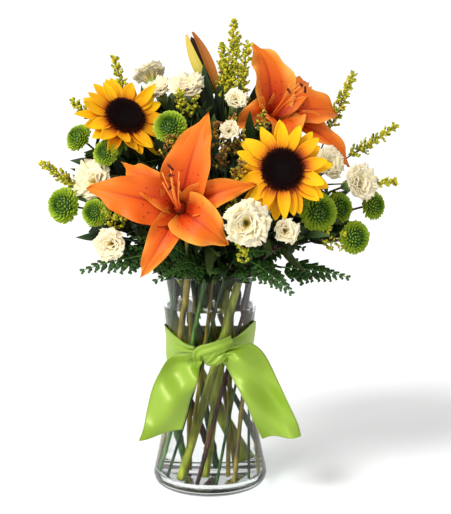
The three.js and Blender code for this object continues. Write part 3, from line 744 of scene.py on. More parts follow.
lily = {
    "tube": 34, "width": 44, "narrow": 0.64, "thick": 0.9, "filament": 50, "spread": 9, "lean": 24,
    "stem": 3.6,
    "flowers": {
        "Front": {"node": "front", "at": (-29, -104, 78), "face": (-0.08, -0.97, 0.2), "ring": ("outer", 0),
                  "turns": (17, 71, 135, 163, 242, 320), "reaches": (74, 90, 70, 86, 74, 56),
                  "curls": (4, 2, 22, 6, 8, 14), "pale": (0.5, 0.3, 0.5, 0.1, 0.4, 0.9), "anthers": (1, 4),
                  "lean": (-0.1, 1.1), "finish": "olive", "seed": 3},
        "Back": {"node": "back", "at": (69, -10, 163), "face": (0.35, -0.72, 0.6), "ring": ("inner", 0),
                 "turns": (349, 20, 64, 121, 214, 283), "reaches": (92, 74, 62, 70, 46, 44),
                 "curls": (22, 18, 14, -6, 24, 4), "pale": (0.5, 0.6, 0.5, 1.0, 0.7, 0.8), "anthers": (0, 3),
                 "lean": (0.3, 0.3), "finish": "yellow", "seed": 8},
    },
    "bud": {"base": (6, 10, 174), "tip": (-20, 15, 232), "radius": 6.6, "fork": 0.72, "stem": 1.8},
}


def lilyTepal():
    # asiatic lily: warm orange, redder at the base and midrib, pale at the margin, spotted near the
    # throat. aside is 0 on the midrib and 1 on the margin
    paint = Paint("lilyTepal")
    calc, mixed = paint.calc, paint.mixed
    uv, across, along = paint.petalPlace()
    _, pale, underside = paint.shade()
    aside = calc("ABSOLUTE", calc("MULTIPLY_ADD", across, 2.0, -1.0))
    lines = paint.noise(paint.stretched(uv, (34, 1.6, 1)), 1.0, 3.0)
    colour = paint.ramp(calc("ADD", along, calc("MULTIPLY", calc("SUBTRACT", lines, 0.5), 0.22)), [
        (0.0, "#420E04"), (0.10, "#742006"), (0.20, "#B43208"), (0.34, "#CE4806"), (0.55, "#DC5E06"),
        (0.8, "#E06E08"), (1.0, "#E27E10")])
    flush = calc("SMOOTH_MIN", calc("SUBTRACT", 1.0, calc("MULTIPLY", aside, 3.6)), 1.0, 0.1)
    flush = calc("MULTIPLY", flush, calc("SUBTRACT", 0.95, along))
    colour = mixed(calc("MAXIMUM", flush, 0.0), colour, linear("#D0330A"))
    rib = calc("MULTIPLY", calc("LESS_THAN", aside, 0.06), calc("SUBTRACT", 1.0, along))
    colour = mixed(calc("MULTIPLY", rib, 0.9), colour, linear("#7E1804"))
    hairline = calc("MULTIPLY", calc("GREATER_THAN", lines, 0.57), 0.3)
    colour = mixed(hairline, colour, linear("#C23F08"))
    edge = calc("SMOOTH_MIN", calc("MULTIPLY", calc("SUBTRACT", aside, 0.5), 2.0), 1.0, 0.1)
    colour = mixed(calc("MAXIMUM", calc("MULTIPLY", edge, pale), 0.0), colour, linear("#F2A53C"))
    cells = paint.node("ShaderNodeTexVoronoi", {
        "Vector": paint.stretched(uv, (11, 26, 1)), "Scale": 1.0, "Randomness": 0.9})
    near = calc("LESS_THAN", cells.outputs["Distance"], 0.22)
    zone = calc("MULTIPLY", calc("LESS_THAN", along, 0.46), calc("GREATER_THAN", along, 0.12))
    inner = calc("MULTIPLY", calc("LESS_THAN", aside, 0.74), calc("SUBTRACT", 1.0, underside))
    spotted = calc("MULTIPLY", calc("MULTIPLY", near, zone), inner)
    colour = mixed(calc("MULTIPLY", spotted, 0.8), colour, linear("#6A1408"))
    colour = mixed(calc("MULTIPLY", underside, 0.3), colour, linear("#EE8A3C"))
    return paint.skin({
        "Base Color": colour, "Roughness": 0.5, "Normal": paint.bump(lines, 0.6, 0.0006),
        "Specular IOR Level": 0.25, "Subsurface Weight": 0.04, "Subsurface Scale": 0.004})


tepalSkin = lilyTepal()
filamentSkin = petalPaint("lilyFilament", [(0, "#C8501A"), (0.5, "#E8742A"), (1, "#F08E3C")], roughness=0.4)
antherSkin = petalPaint("lilyAnther", [(0, "#3A0E08"), (0.5, "#5E1A0E"), (1, "#7E2C14")],
                        mottle=0.5, vein=0.6, veinScale=(30, 30, 1), roughness=0.9, ribHeight=0.0006)
# the first, near-black stop is painted shade: the bud's core takes it, where the lobes part
budSkin = petalPaint("lilyBudSkin", [
    (0, "#241A0A"), (0.06, "#8E8F2E"), (0.3, "#C8B650"), (0.5, "#CFA04A"), (0.72, "#B8702E"), (1, "#8E5422")],
    mottle=0.6, vein=0.25, veinScale=(16, 1.5, 1))


def makeLily(name, flower):
    # four pieces: tepals, filaments, anthers and stem
    f = lily
    rng = np.random.default_rng(flower["seed"])
    axes = frameOf(flower["face"])
    centre = aboveRim(flower["at"]) * mm
    rows = 26
    t = np.linspace(0, 1, rows)
    turns = np.radians(flower["turns"])[:, None]
    reach, curl = (np.array(flower[key], float)[:, None] for key in ("reaches", "curls"))
    sway = rng.uniform(-0.1, 0.1, (6, 1)) * t**2
    radial = spoke(turns + sway, axes)
    # the middle line: out by 2 + reach t^1.25, up the tube by -tube (1 - t)^2.2 + 7 sin(pi t), down by curl
    out = 2 + reach * t**1.25 - 0.12 * curl * smooth(t, 0.8, 1.0)
    climb = -f["tube"] * (1 - t)**2.2 + 7 * np.sin(math.pi * t) - curl * t * t - 3 * smooth(t, 0.82, 1.0)
    layer = np.array([-2.4, 0, -2.4, 0, -2.4, 0])[:, None]  # every other tepal lies behind its neighbours
    middle = centre + (radial * out[..., None] + axes[2] * (climb + layer)[..., None]) * mm
    across = np.cross(axes[2], radial)
    roll = rng.uniform(-0.25, 0.25, (6, 1)) * t
    across = unit(across * np.cos(roll)[..., None] + axes[2] * np.sin(roll)[..., None])
    narrow = np.array([f["narrow"], 1, f["narrow"], 1, f["narrow"], 1])[:, None]
    half = (f["width"] / 2 * narrow * np.sin(math.pi * t**0.8)**0.86 + 1.2 * (1 - t)**3) * mm
    half[:, -1] = 0.05 * mm
    thick = f["thick"] / 2 * mm * (0.35 + 0.65 * np.sin(math.pi * t))[None] + 0 * half
    cup = 0.62 * (1 - t)**1.1 + 0.16 - 0.3 * smooth(t, 0.6, 1.0)
    waves = rng.uniform(3.2, 5.0, (6, 1, 1)), rng.uniform(0, turn, (6, 1, 1))

    def rise(s):
        # cupped as cup half s^2, with a midrib channel, two side ridges and wavy margins
        body = (cup * half)[..., None] * s**2
        channel = -2.4 * mm * np.exp(-(s / 0.12)**2) + 1.3 * mm * np.exp(-((np.abs(s) - 0.27) / 0.13)**2)
        frill = 3.4 * mm * np.abs(s)**3 * np.sin(waves[0] * t[:, None] * 5 + waves[1] + 2.6 * s)
        return body + channel * np.sin(math.pi * t)[:, None]**0.5 + frill * smooth(t, 0.1, 0.5)[:, None]

    shell = Shell()
    rings, u, under = strips(middle, across, half, rise, thick, around=30)
    shell.add(rings, None, t, u, bladeShade(rng.uniform(0, 1, 6), flower["pale"], under, rows))
    throat = np.array([(0, -2), (4.4, -2), (5.2, 2), (5.6, 12), (3, 14), (0, 15)], float)
    throat = (throat - (0, f["tube"])) * mm
    shell.add(*lathe(throat, 30, centre, axes[2]), v=np.full(4, 0.1), shade=(0.5, 0, 0, 1))
    makePiece(f"lily{name}Tepals", shell, tepalSkin, [f"lily_{flower['node']}_tepals"])

    # six filaments and a pistil, leaning together
    lean = axes[0] * flower["lean"][0] + axes[1] * flower["lean"][1]
    threads, anthers = Shell(), Shell()
    root = -f["tube"] + 17
    for k in range(7):
        pistil = k == 6
        angle = k * turn / 6 + 0.5
        side = math.cos(angle) * axes[0] + math.sin(angle) * axes[1]
        length = f["filament"] - (0 if pistil else 8)
        wide = 1.0 if pistil else f["spread"]
        start = centre + (side * (0 if pistil else 1.8) + axes[2] * (root - 3)) * mm
        top = root + length - 8 * np.linalg.norm(lean)
        tip = centre + (side * wide + lean * f["lean"] + axes[2] * top) * mm
        bend = centre + (side * wide * 0.2 + lean * 4 + axes[2] * (root + length * 0.62)) * mm
        path = bezier(start, start + (bend - start) * 0.6, bend, tip, 14)
        thick = (1.0 if pistil else 0.75) * mm * np.linspace(1.25, 0.85, 14)
        threads.add(*tube(path, thick, 10))
        ahead = unit(path[-1] - path[-2])
        if pistil:  # a three-lobed stigma
            lobes = np.array([unit(math.cos(a) * sideOf(ahead) + math.sin(a) * np.cross(ahead, sideOf(ahead))
                                   + 0.5 * ahead) for a in np.arange(3) / 3 * turn])
            rings, ends = buds(np.repeat(path[-1:], 3, 0), lobes, 1.25 * mm, 2.8 * mm,
                               [(-0.4, 0), (0.0, 0.9), (0.5, 1.0), (0.85, 0.6), (1.0, 0)], around=10)
            anthers.add(rings, ends, shade=(0.5, 0.5, 0, 1))
        elif k in flower["anthers"]:  # an anther hangs across the end of its filament; the rest have dropped
            across = unit(np.cross(ahead, side) + 0.35 * side * math.sin(3 * k) + 0.3 * ahead)
            pod = [(0, 0), (0.06, 0.6), (0.25, 1.0), (0.5, 0.84), (0.75, 1.0), (0.94, 0.6), (1, 0)]
            start = path[-1:] - across * 4.4 * mm
            rings, ends = buds(start, across[None], 1.3 * mm, 8.8 * mm, pod, around=12)
            anthers.add(rings, ends, shade=(rng.uniform(), 0.5, 0, 1))
    makePiece(f"lily{name}Filaments", threads, filamentSkin,
              [f"lily_{flower['node']}_stamens"])
    makePiece(f"lily{name}Anthers", anthers, antherSkin, [f"lily_{flower['node']}_stamens"])

    stem = Shell()
    tip = aboveRim(flower["at"]) - axes[2] * (f["tube"] + 1.5)
    path = stemPath(*flower["ring"], f["stem"], tip, axes[2])
    addStem(stem, path, f["stem"], nodesEvery=58, taper=0.8, ribs=5, ribDepth=0.03)
    if name == "Back":
        b = f["bud"]
        base, tip = aboveRim(b["base"]), aboveRim(b["tip"])
        fork = path[int(len(path) * (0.5 + b["fork"] * 0.3))]
        twig = twigPath(fork, base + unit(tip - base) * 1.5, tip - base, 24)
        addStem(stem, twig, b["stem"], taper=0.9)
    makePiece(f"lily{name}Stem", stem, stemFinish[flower["finish"]],
              [f"lily_{flower['node']}_stem"])


def makeBud():
    # six closed tepals in two lobes, which part to the left and the right over a heart painted near-black as
    # the shade in the gap between them
    b = lily["bud"]
    base, tip = aboveRim(b["base"]) * mm, aboveRim(b["tip"]) * mm
    length = np.linalg.norm(tip - base)
    axes = frameOf(tip - base)
    rows = 24
    t = np.linspace(0, 1, rows)
    turns = np.arange(6) * turn / 6
    outer = (np.arange(6) % 2 == 0)[:, None]
    radial = spoke(turns, axes)
    # radius along the bud: radius sin(pi t^0.8)^0.7, fuller above the middle
    swell = b["radius"] * np.sin(math.pi * (0.06 + 0.9 * t)**0.85)**0.75
    out = np.where(outer, swell * 0.9, swell * 0.8)
    middle = base + radial[:, None] * (out * mm)[..., None] + axes[2] * (t * length * 0.985)[:, None]
    lobe = np.array([1, 1, -1, -1, -1, 1])[:, None] * (0.8 + 1.6 * smooth(t, 0.1, 0.9)) * mm
    middle = middle + lobe[..., None] * axes[0]
    across = np.broadcast_to(np.cross(axes[2], radial)[:, None], middle.shape)
    half = np.where(outer, 0.86, 0.7) * swell * mm + 0.15 * mm
    rings, u, under = strips(middle, across, half, lambda s: -(0.52 * half)[..., None] * s**2,
                             0 * half + 0.8 * mm, around=22)
    shell = Shell()
    chance = np.array([0.95, 0.85, 0.1, 0.0, 0.12, 1.0])
    shell.add(rings, None, 0.34 + 0.3 * t, u, bladeShade(chance, 0.5, under, rows))
    # the core takes the ramp's near-black first stop: painted shade in the gap between the lobes
    core = np.stack([np.concatenate([[0], swell[1:-2] * 0.66, [0]]),
                     np.concatenate([[0.5], t[1:-2] * length / mm * 0.98, [length / mm * 0.94]])], 1) * mm
    shell.add(*lathe(core, 18, base, axes[2]), v=np.zeros(len(core) - 2), shade=(0, 0.5, 0, 1))
    makePiece("lilyBud", shell, budSkin, ["lily_bud"])


for name, flower in lily["flowers"].items():
    makeLily(name, flower)
makeBud()
print("lilies ready")


# carnations

# place (x, y, height above the rim), radius and spray of each bloom
carnation = {
    "calyx": 15, "set": 0.6, "tuck": 0.8, "stem": 2.2, "twig": 1.1, "nodes": 46,
    "petals": 33, "smallUnder": 14.5, "smallPetals": 24, "smallOpen": 0.7,
    "blooms": {
        "left": ((-110, -35, 93), 20.5, "left"), "low_left": ((-93, -62, 36), 16.5, "left"),
        "back_left": ((-72, 66, 112), 19, "left"), "front": ((35, -112, 64), 22, "front"),
        "front_small": ((71, -100, 55), 14, "front"), "behind": ((51, -64, 78), 17, "front"),
        "bud_mid": ((19, -75, 145), 11, "front"), "right": ((114, -30, 109), 17, "right"),
        "right_far": ((143, -42, 92), 19, "right"), "back_right": ((96, 62, 92), 19, "right"),
        "top": ((-22, -4, 180), 18, "top"), "top_left": ((-49, 14, 176), 16, "top"),
        "top_back": ((-60, 46, 188), 17, "top"), "bud_upper": ((25, -40, 170), 12.5, "top"),
        "back_mid": ((18, 96, 92), 19, "top"),
    },
    "sprays": {
        "front": (("outer", 1), (14, -52, 40), "green"), "right": (("outer", 6), (62, -8, 50), "olive"),
        "left": (("outer", 12), (-48, 4, 26), "maroon"), "top": (("inner", 3), (-14, 18, 80), "dark"),
    },
}

# the petals darken to olive towards their bases: partly the carnation's own greenish base, partly painted
# shade deep in the bloom
carnationSkin = petalPaint("carnationPetal", [
    (0.0, "#747A22"), (0.32, "#C0A848"), (0.56, "#DCC888"), (0.78, "#E6D8AE"), (1.0, "#ECE1C4")],
    mottle=0.24, vein=0.14, veinScale=(20, 1.4, 1), roughness=0.7, ribHeight=0.0003, glow=0.06, gloss=0.12)
calyxSkin = petalPaint("carnationCalyx", [(0, "#5C7A3A"), (0.6, "#7D9A55"), (1, "#9DB878")],
                       mottle=0.3, vein=0.2, veinScale=(18, 2, 1), glow=0.05)


def ruffledBloom(shell, centre, axes, radius, rng):
    # petals set by the golden angle: the outer ones lie out flat, the inner ones stand and crowd.
    # A small bloom has fewer and is less open
    small = radius < carnation["smallUnder"]
    count = carnation["smallPetals" if small else "petals"]
    openness = carnation["smallOpen"] if small else 1.0
    k = np.arange(count)
    share = np.sqrt((count - k) / count)[:, None]  # 1 at the outside
    turns = (k * golden + rng.uniform(-0.2, 0.2, count))[:, None]
    rows = 9
    t = np.linspace(0, 1, rows)
    # elevation from the base line, steep at the claw and easing to the petal's own rest angle
    restAngle = np.radians(82 - 88 * openness * share**1.6) + rng.uniform(-0.12, 0.12, (count, 1))
    elevation = np.radians(80) + (restAngle - np.radians(80)) * smooth(t, 0.25, 0.95)
    length = radius * (0.92 + 0.42 * share) * rng.uniform(0.9, 1.06, (count, 1))
    step = length / (rows - 1)
    out = np.cumsum(np.cos(elevation) * step, 1) - np.cos(elevation[:, :1]) * step + 0.06 * radius * share
    up = np.cumsum(np.sin(elevation) * step, 1) - np.sin(elevation[:, :1]) * step - 0.62 * radius
    up = up - 0.18 * radius * (1 - share)
    radial = spoke(turns, axes)
    middle = centre + (radial * out[..., None] + axes[2] * up[..., None]) * mm
    across = np.broadcast_to(np.cross(axes[2], radial), middle.shape)
    half = (0.10 + 0.70 * t**1.2 + 0 * share) * radius * mm * (0.66 + 0.34 * share)
    thick = 0.28 * mm + 0 * half
    phase = rng.uniform(0, turn, (3, count, 1, 1))
    fold = rng.uniform(0.6, 1.25, (count, 1, 1))
    grow = (t**1.7)[None, :, None]

    def rise(s):
        # ruffles: fold radius t^1.7 (0.13 sin 4s + 0.05 sin 8.5s), edges curling in
        waves = 0.13 * np.sin(4.0 * s + phase[0]) + 0.05 * np.sin(8.5 * s + phase[1] + 2 * t[:, None])
        return fold * grow * waves * radius * mm + 0.2 * radius * mm * grow * s**2

    rings, u, under = strips(middle, across, half, rise, thick, around=36)
    # the margin is toothed: the last rows move in and out along the petal
    s = 2 * u - 1
    ahead = unit(np.gradient(middle, axis=1))[:, :, None]
    tooth = 0.025 * np.sin(24 * s + phase[2]) - 0.18 * np.abs(s)**2.5
    rings = rings + ahead * (smooth(t, 0.5, 1.0)[None, :, None] * tooth * radius * mm)[..., None]
    shell.add(rings, None, t, u, bladeShade(rng.uniform(0, 1, count), share[:, 0], under, rows))


def calyxTube(shell, centre, axis, depth, length, wide):
    # the green cup under a carnation, from depth below the centre down by length
    profile = np.array([(0, -depth - length), (1.7, -depth - length), (2.8, -depth - length + 2),
                        (wide, -depth - 3), (wide + 0.7, -depth + 1.5), (wide - 0.8, -depth + 2.2),
                        (0, -depth)]) * mm
    shell.add(*lathe(profile, 16, centre, axis))


def makeBlooms(kind, table, skin, seed, draw):
    # one piece for each bloom in the table
    for index, (name, (at, radius, _)) in enumerate(table["blooms"].items()):
        shell = Shell()
        draw(shell, aboveRim(at) * mm, frameOf(outward(at)), radius, np.random.default_rng(seed + index))
        makePiece(f"{kind}{index:02d}", shell, skin, [f"{kind}_{name}"])


def makeSprays(kind, table):
    # one branched stem for each spray: up to its fork, then a twig to each bloom, which it meets
    # radius times set and the calyx behind the bloom's centre
    for name, (ring, fork, finish) in table["sprays"].items():
        stem, calyx = Shell(), Shell()
        top = aboveRim(fork)
        path = stemPath(*ring, table["stem"], top, forkRise(fork))
        addStem(stem, path, table["stem"], table["nodes"], taper=0.85)
        for at, radius, spray in table["blooms"].values():
            if spray != name:
                continue
            face = outward(at)
            foot = aboveRim(at) - face * (radius * table["set"] + table["calyx"])
            twig = twigPath(top - face, foot + face * table["tuck"], face)
            addStem(stem, twig, table["twig"], taper=1.0, around=10)
            if table["calyx"]:
                calyxTube(calyx, aboveRim(at) * mm, face, radius * 0.52, table["calyx"] + radius * 0.08,
                          0.3 * radius)
        makePiece(f"{kind}Stem{name.title()}", stem, stemFinish[finish],
                  [f"{kind}_stem_{name}"])
        if table["calyx"]:
            makePiece(f"{kind}Calyx{name.title()}", calyx, calyxSkin)


makeBlooms("carnation", carnation, carnationSkin, 40, ruffledBloom)
makeSprays("carnation", carnation)
print("carnations ready")


# green button poms

pom = {
    "calyx": 0, "set": 0.5, "tuck": 0, "stem": 2.0, "twig": 1.1, "nodes": 64, "petals": 170,
    "blooms": {
        "left_high": ((-127, -5, 131), 14, "left"), "left_mid": ((-98, -46, 121), 12.5, "left"),
        "left_far": ((-139, -42, 70), 17, "left"), "left_low": ((-109, -50, 64), 13, "left"),
        "mid": ((-37, -50, 146), 15.5, "left"), "right_front": ((103, -64, 67), 18, "right"),
        "right_dark": ((124, -32, 66), 15, "right"), "right_low": ((138, -60, 42), 15.5, "right"),
        "right_far": ((158, -22, 67), 14, "right"), "back_left": ((-108, 40, 92), 14, "back"),
        "back_mid": ((-26, 88, 140), 14, "back"), "back_right": ((58, 70, 142), 14, "back"),
    },
    "sprays": {
        "right": (("outer", 4), (62, -32, 26), "maroon"), "back": (("outer", 8), (2, 50, 48), "olive"),
        "left": (("outer", 13), (-56, -32, 50), "green"),
    },
}


def pomFloret():
    # chrysanthemum button: dark olive eye, mid green inner florets and bright yellow-green outer ones, each
    # floret darker towards its base. The darkening at the eye and at the floret bases is partly the pom's own
    # greens, partly painted shade where the florets crowd
    paint = Paint("buttonPomFloret")
    _, _, along = paint.petalPlace()
    chance, depth, _ = paint.shade()
    place = paint.calc("MULTIPLY_ADD", chance, 0.14, paint.calc("MULTIPLY_ADD", along, 0.34, depth))
    colour = paint.ramp(place, [
        (0.0, "#1C3A0C"), (0.28, "#3A6216"), (0.48, "#648E20"), (0.72, "#8EB02A"), (1.0, "#AEC63A")])
    return paint.skin({
        "Base Color": colour, "Roughness": 0.55, "Specular IOR Level": 0.25,
        "Subsurface Weight": 0.06, "Subsurface Scale": 0.002})


pomSkin = pomFloret()


def buttonBloom(shell, centre, axes, radius, rng):
    # florets from the eye to the back: the k-th leaves the ball at polar angle 108 deg sqrt(k / count)
    count = pom["petals"]
    k = np.arange(count) + 0.5
    share = np.sqrt(k / count)
    polar = np.radians(108) * share
    turns = k * golden
    radial = spoke(turns, axes)
    leave = radial * np.sin(polar)[:, None] + axes[2] * np.cos(polar)[:, None]
    # the ball is flattened along its face: 1 across, 0.72 along
    flat = radial * np.sin(polar)[:, None] + axes[2] * (0.72 * np.cos(polar))[:, None]
    origin = centre + flat * (0.62 * radius * mm)
    inward = np.clip(0.9 - 0.9 * share, 0.05, 1)[:, None]
    along = unit(leave + radial * 0.35 * share[:, None] - 0.35 * radial * inward
                 + rng.normal(0, 0.07, (count, 3)))
    side = np.cross(axes[2], radial)
    length = (radius * (0.24 + 0.22 * share) * rng.uniform(0.88, 1.1, count))[:, None, None] * mm
    wide = (radius * (0.055 + 0.075 * share))[:, None, None] * mm

    def shape(t, s):
        # a spoon: widest near its round tip, cupped towards the eye and hooked inwards at the tip
        width = wide * (0.45 + 0.75 * t) * np.sin(math.pi * np.clip(0.12 + 0.83 * t, 0, 1))**0.5
        height = width * 0.7 * s**2 + 0.3 * length * t**2.5
        return length * t, width * s, height, skinThickness(t, 0.24, 0.03)

    # depth darkens the florets towards the eye: partly the eye's own darker green, partly painted shade
    depth = 0.08 + 0.62 * smooth(share, 0.12, 0.8)
    addBlades(shell, origin, along, side, shape, 5, 8, rng.uniform(0, 1, count), depth)
    # a dark core under the florets: painted shade, seen only in the gaps between them
    core = np.array([(0, -0.5), (0.45, -0.42), (0.66, -0.15), (0.7, 0.12), (0.45, 0.4), (0, 0.46)])
    core = core * radius * mm
    shell.add(*lathe(core, 20, centre, axes[2]), v=np.zeros(4), shade=(0, 0.1, 0, 1))


makeBlooms("pom", pom, pomSkin, 80, buttonBloom)
makeSprays("pom", pom)
print("poms ready")


# goldenrod

goldenrod = {
    "stem": 1.9, "twig": 1.1, "length": 62,
    # ring, joint and plume tips
    "plants": {
        "top": (("inner", 2), (18, 0, 124), ((24, 0, 245), (38, -6, 224), (12, 4, 222))),
        "left_high": (("inner", 4), (-66, 12, 110), ((-94, 16, 209), (-136, 12, 166))),
        "left": (("inner", 5), (-84, -16, 56), ((-164, -18, 109), (-150, 6, 92))),
        "right": (("inner", 1), (96, 42, 78), ((143, 32, 192), (183, 2, 143), (184, -4, 88))),
        "back": (("outer", 9), (-32, 62, 66), ((-50, 112, 118), (0, 112, 150))),
    },
    # extra sprigs between the blooms: base, tip, florets, chance that a floret has turned brown
    "sprigs": (
        ((10, -70, 108), (14, -84, 130), 80, 0.85), ((-4, -64, 120), (8, -70, 152), 90, 0.85),
        ((24, -84, 96), (30, -98, 118), 70, 0.8), ((8, -58, 128), (24, -60, 158), 90, 0.8),
        ((20, -52, 118), (32, -60, 142), 80, 0.8), ((-44, -62, 116), (-34, -68, 140), 80, 0.75),
        ((-30, -62, 118), (-24, -66, 136), 60, 0.7), ((-28, -16, 152), (-28, -24, 178), 80, 0.05),
        ((-18, -14, 150), (-14, -22, 172), 60, 0.1), ((10, -70, 66), (12, -82, 92), 90, 0.1),
        ((22, -66, 64), (20, -80, 84), 60, 0.15), ((36, -92, 22), (28, -104, 46), 70, 0.1),
        ((118, -54, 26), (112, -66, 50), 60, 0.1), ((124, -54, 26), (128, -68, 48), 60, 0.15),
        ((-88, -50, 46), (-98, -66, 70), 70, 0.1), ((-80, -52, 50), (-86, -68, 66), 50, 0.2),
        ((16, 2, 158), (14, 0, 206), 150, 0.05), ((30, 2, 150), (34, -2, 198), 150, 0.1),
        ((22, 4, 166), (28, 2, 228), 170, 0.05), ((52, -50, 138), (50, -58, 160), 60, 0.6),
        ((62, 40, 120), (60, 60, 150), 90, 0.3), ((-30, 66, 110), (-34, 92, 132), 90, 0.3),
    ),
}


def floretPaint():
    # goldenrod in bud: lemon yellow to olive, a few brown
    paint = Paint("goldenrodFloret")
    chance, faded, _ = paint.shade()
    fresh = paint.ramp(chance, [(0.0, "#6A7A14"), (0.3, "#949A16"), (0.6, "#C2BA18"), (1.0, "#DCD026")])
    brown = paint.ramp(chance, [(0.0, "#4A2C0A"), (0.5, "#7E5212"), (1.0, "#B4801C")])
    return paint.skin({
        "Base Color": paint.mixed(faded, fresh, brown), "Roughness": 0.7,
        "Subsurface Weight": 0.1, "Subsurface Scale": 0.002})


floretSkin = floretPaint()
floretShape = [(-0.4, 0), (-0.1, 0.7), (0.35, 0.85), (0.7, 1.0), (1.0, 0)]


def addPlume(florets, twigs, base, tip, count, rng, faded=0.05, reach=8.0):
    # a feathery plume from base to tip, in mm: branchlets leave the axis by the golden angle, shorter
    # to the tip, arch back a little and carry florets in rows
    axis = tip - base
    length = np.linalg.norm(axis)
    ahead = unit(axis)
    side = sideOf(ahead, (0.3, 0.9, 0.1))
    other = np.cross(ahead, side)
    number = max(4, count // 7)
    share = (np.arange(number) + 0.5) / number
    turns = np.arange(number) * golden + rng.uniform(0, turn)
    outwards = np.cos(turns)[:, None] * side + np.sin(turns)[:, None] * other
    span = reach * (1 - 0.72 * share**1.3) * rng.uniform(0.7, 1.1, number)
    per = 11
    along = np.linspace(0.18, 1.0, per)
    # a branchlet runs out by span t and forward by 0.85 span t^0.8
    start = base + axis * share[:, None]
    lead = outwards[:, None] * (span[:, None] * along)[..., None]
    lead = lead + ahead * (0.85 * span[:, None] * along**0.8)[..., None]
    places = (start[:, None] + lead + rng.normal(0, 0.7, (number, per, 3))).reshape(-1, 3)
    places = np.vstack([places, tip - ahead * np.linspace(0, 0.16 * length, 7)[:, None]
                        + rng.normal(0, 0.8, (7, 3))])
    axes = unit(np.vstack([np.repeat(outwards, per, 0), np.repeat(ahead[None], 7, 0)])
                + 0.8 * ahead + rng.normal(0, 0.35, (len(places), 3)))
    size = rng.uniform(0.75, 1.15, len(places))
    rings, ends = buds(places * mm, axes, size * 1.05 * mm, size * 2.6 * mm, floretShape, around=6)
    shade = np.stack([rng.uniform(0, 1, len(places)), (rng.uniform(0, 1, len(places)) < faded) * 1.0,
                      np.zeros(len(places)), np.ones(len(places))], 1)
    florets.add(rings, ends, shade=shade)
    t = np.linspace(0, 1, 5)
    for k in range(number):  # one thin twig for each branchlet
        path = start[k] + outwards[k] * (span[k] * t)[:, None] + ahead * (0.85 * span[k] * t**0.8)[:, None]
        twigs.add(*tube(path * mm, 0.3 * mm, 5))


def makeGoldenrod():
    # each plant has a stem to its joint and a plume along the last part of the way to each tip
    g = goldenrod
    for index, (name, (ring, joint, tips)) in enumerate(g["plants"].items()):
        rng = np.random.default_rng(120 + index)
        florets, stem = Shell(), Shell()
        top = aboveRim(joint)
        lead = unit(aboveRim(tips[0]) - top)
        addStem(stem, stemPath(*ring, g["stem"], top, lead), g["stem"], taper=0.7, ribs=7)
        for tip in tips:
            tip = aboveRim(tip)
            ahead = unit(tip - top)
            plume = min(g["length"], np.linalg.norm(tip - top) * 0.8)
            addStem(stem, twigPath(top - ahead, tip - ahead * 3, ahead), g["twig"], taper=0.35, around=8)
            addPlume(florets, stem, tip - ahead * plume, tip - ahead * 1.5, 230, rng)
        for part, shell, skin in (("Stem", stem, stemFinish["olive"]), ("Florets", florets, floretSkin)):
            makePiece(f"goldenrod{index}{part}", shell, skin, [f"goldenrod_{name}"])
    rng = np.random.default_rng(140)
    florets, stem = Shell(), Shell()
    for base, tip, count, faded in g["sprigs"]:
        addPlume(florets, stem, aboveRim(base), aboveRim(tip), count, rng, faded, reach=7.5)
    makePiece("goldenrodSprigStems", stem, stemFinish["green"])
    makePiece("goldenrodSprigFlorets", florets, floretSkin)


makeGoldenrod()
print("goldenrod ready")


# leatherleaf fern and other greenery

fern = {
    "stem": 1.5, "width": 27,
    # stem ring, knee over the rim and tip of each frond that has its own stem
    "fronds": {
        "left": (("outer", 14), (-58, -54, 24), (-122, -76, 12)),
        "front": (("outer", 2), (40, -68, 20), (78, -104, -4)),
        "right": (("outer", 5), (70, -34, 8), (134, -66, 4)),
        "back_right": (("outer", 7), (50, 56, 26), (104, 104, 30)),
        "back_left": (("outer", 10), (-52, 52, 26), (-100, 96, 34)),
    },
    # loose fronds: base, tip, half width
    "loose": (
        ((10, -34, 2), (-52, -86, 4), 26), ((-6, -36, 0), (-30, -92, 18), 26),
        ((12, -38, 0), (4, -96, 14), 26), ((24, -36, 2), (34, -92, 6), 26),
        ((38, -26, 2), (62, -84, 14), 24), ((-30, -30, 0), (-76, -64, 34), 24),
        ((-40, -10, 4), (-96, -36, 26), 22), ((42, 2, 6), (92, -50, 30), 24),
        ((20, -44, 14), (56, -98, 34), 22), ((-16, -46, 16), (-66, -86, 46), 22),
        ((-44, 10, 8), (-104, 16, 44), 24), ((44, 14, 8), (100, 20, 40), 24),
        ((30, 36, 6), (64, 88, 26), 24), ((-26, 38, 6), (-60, 92, 22), 24), ((0, 44, 4), (6, 104, 30), 24),
        ((-20, -28, 30), (-84, -50, 78), 20), ((24, -26, 34), (84, -66, 84), 20),
        ((6, -40, 40), (22, -86, 104), 20), ((-4, 40, 50), (-40, 84, 110), 20),
        ((26, 40, 50), (70, 78, 104), 20), ((-30, 10, 70), (-100, 4, 128), 18),
        ((30, 10, 80), (104, 0, 118), 18), ((-6, -20, 90), (-34, -44, 150), 18),
        ((20, -10, 100), (52, -40, 150), 18),
    ),
}
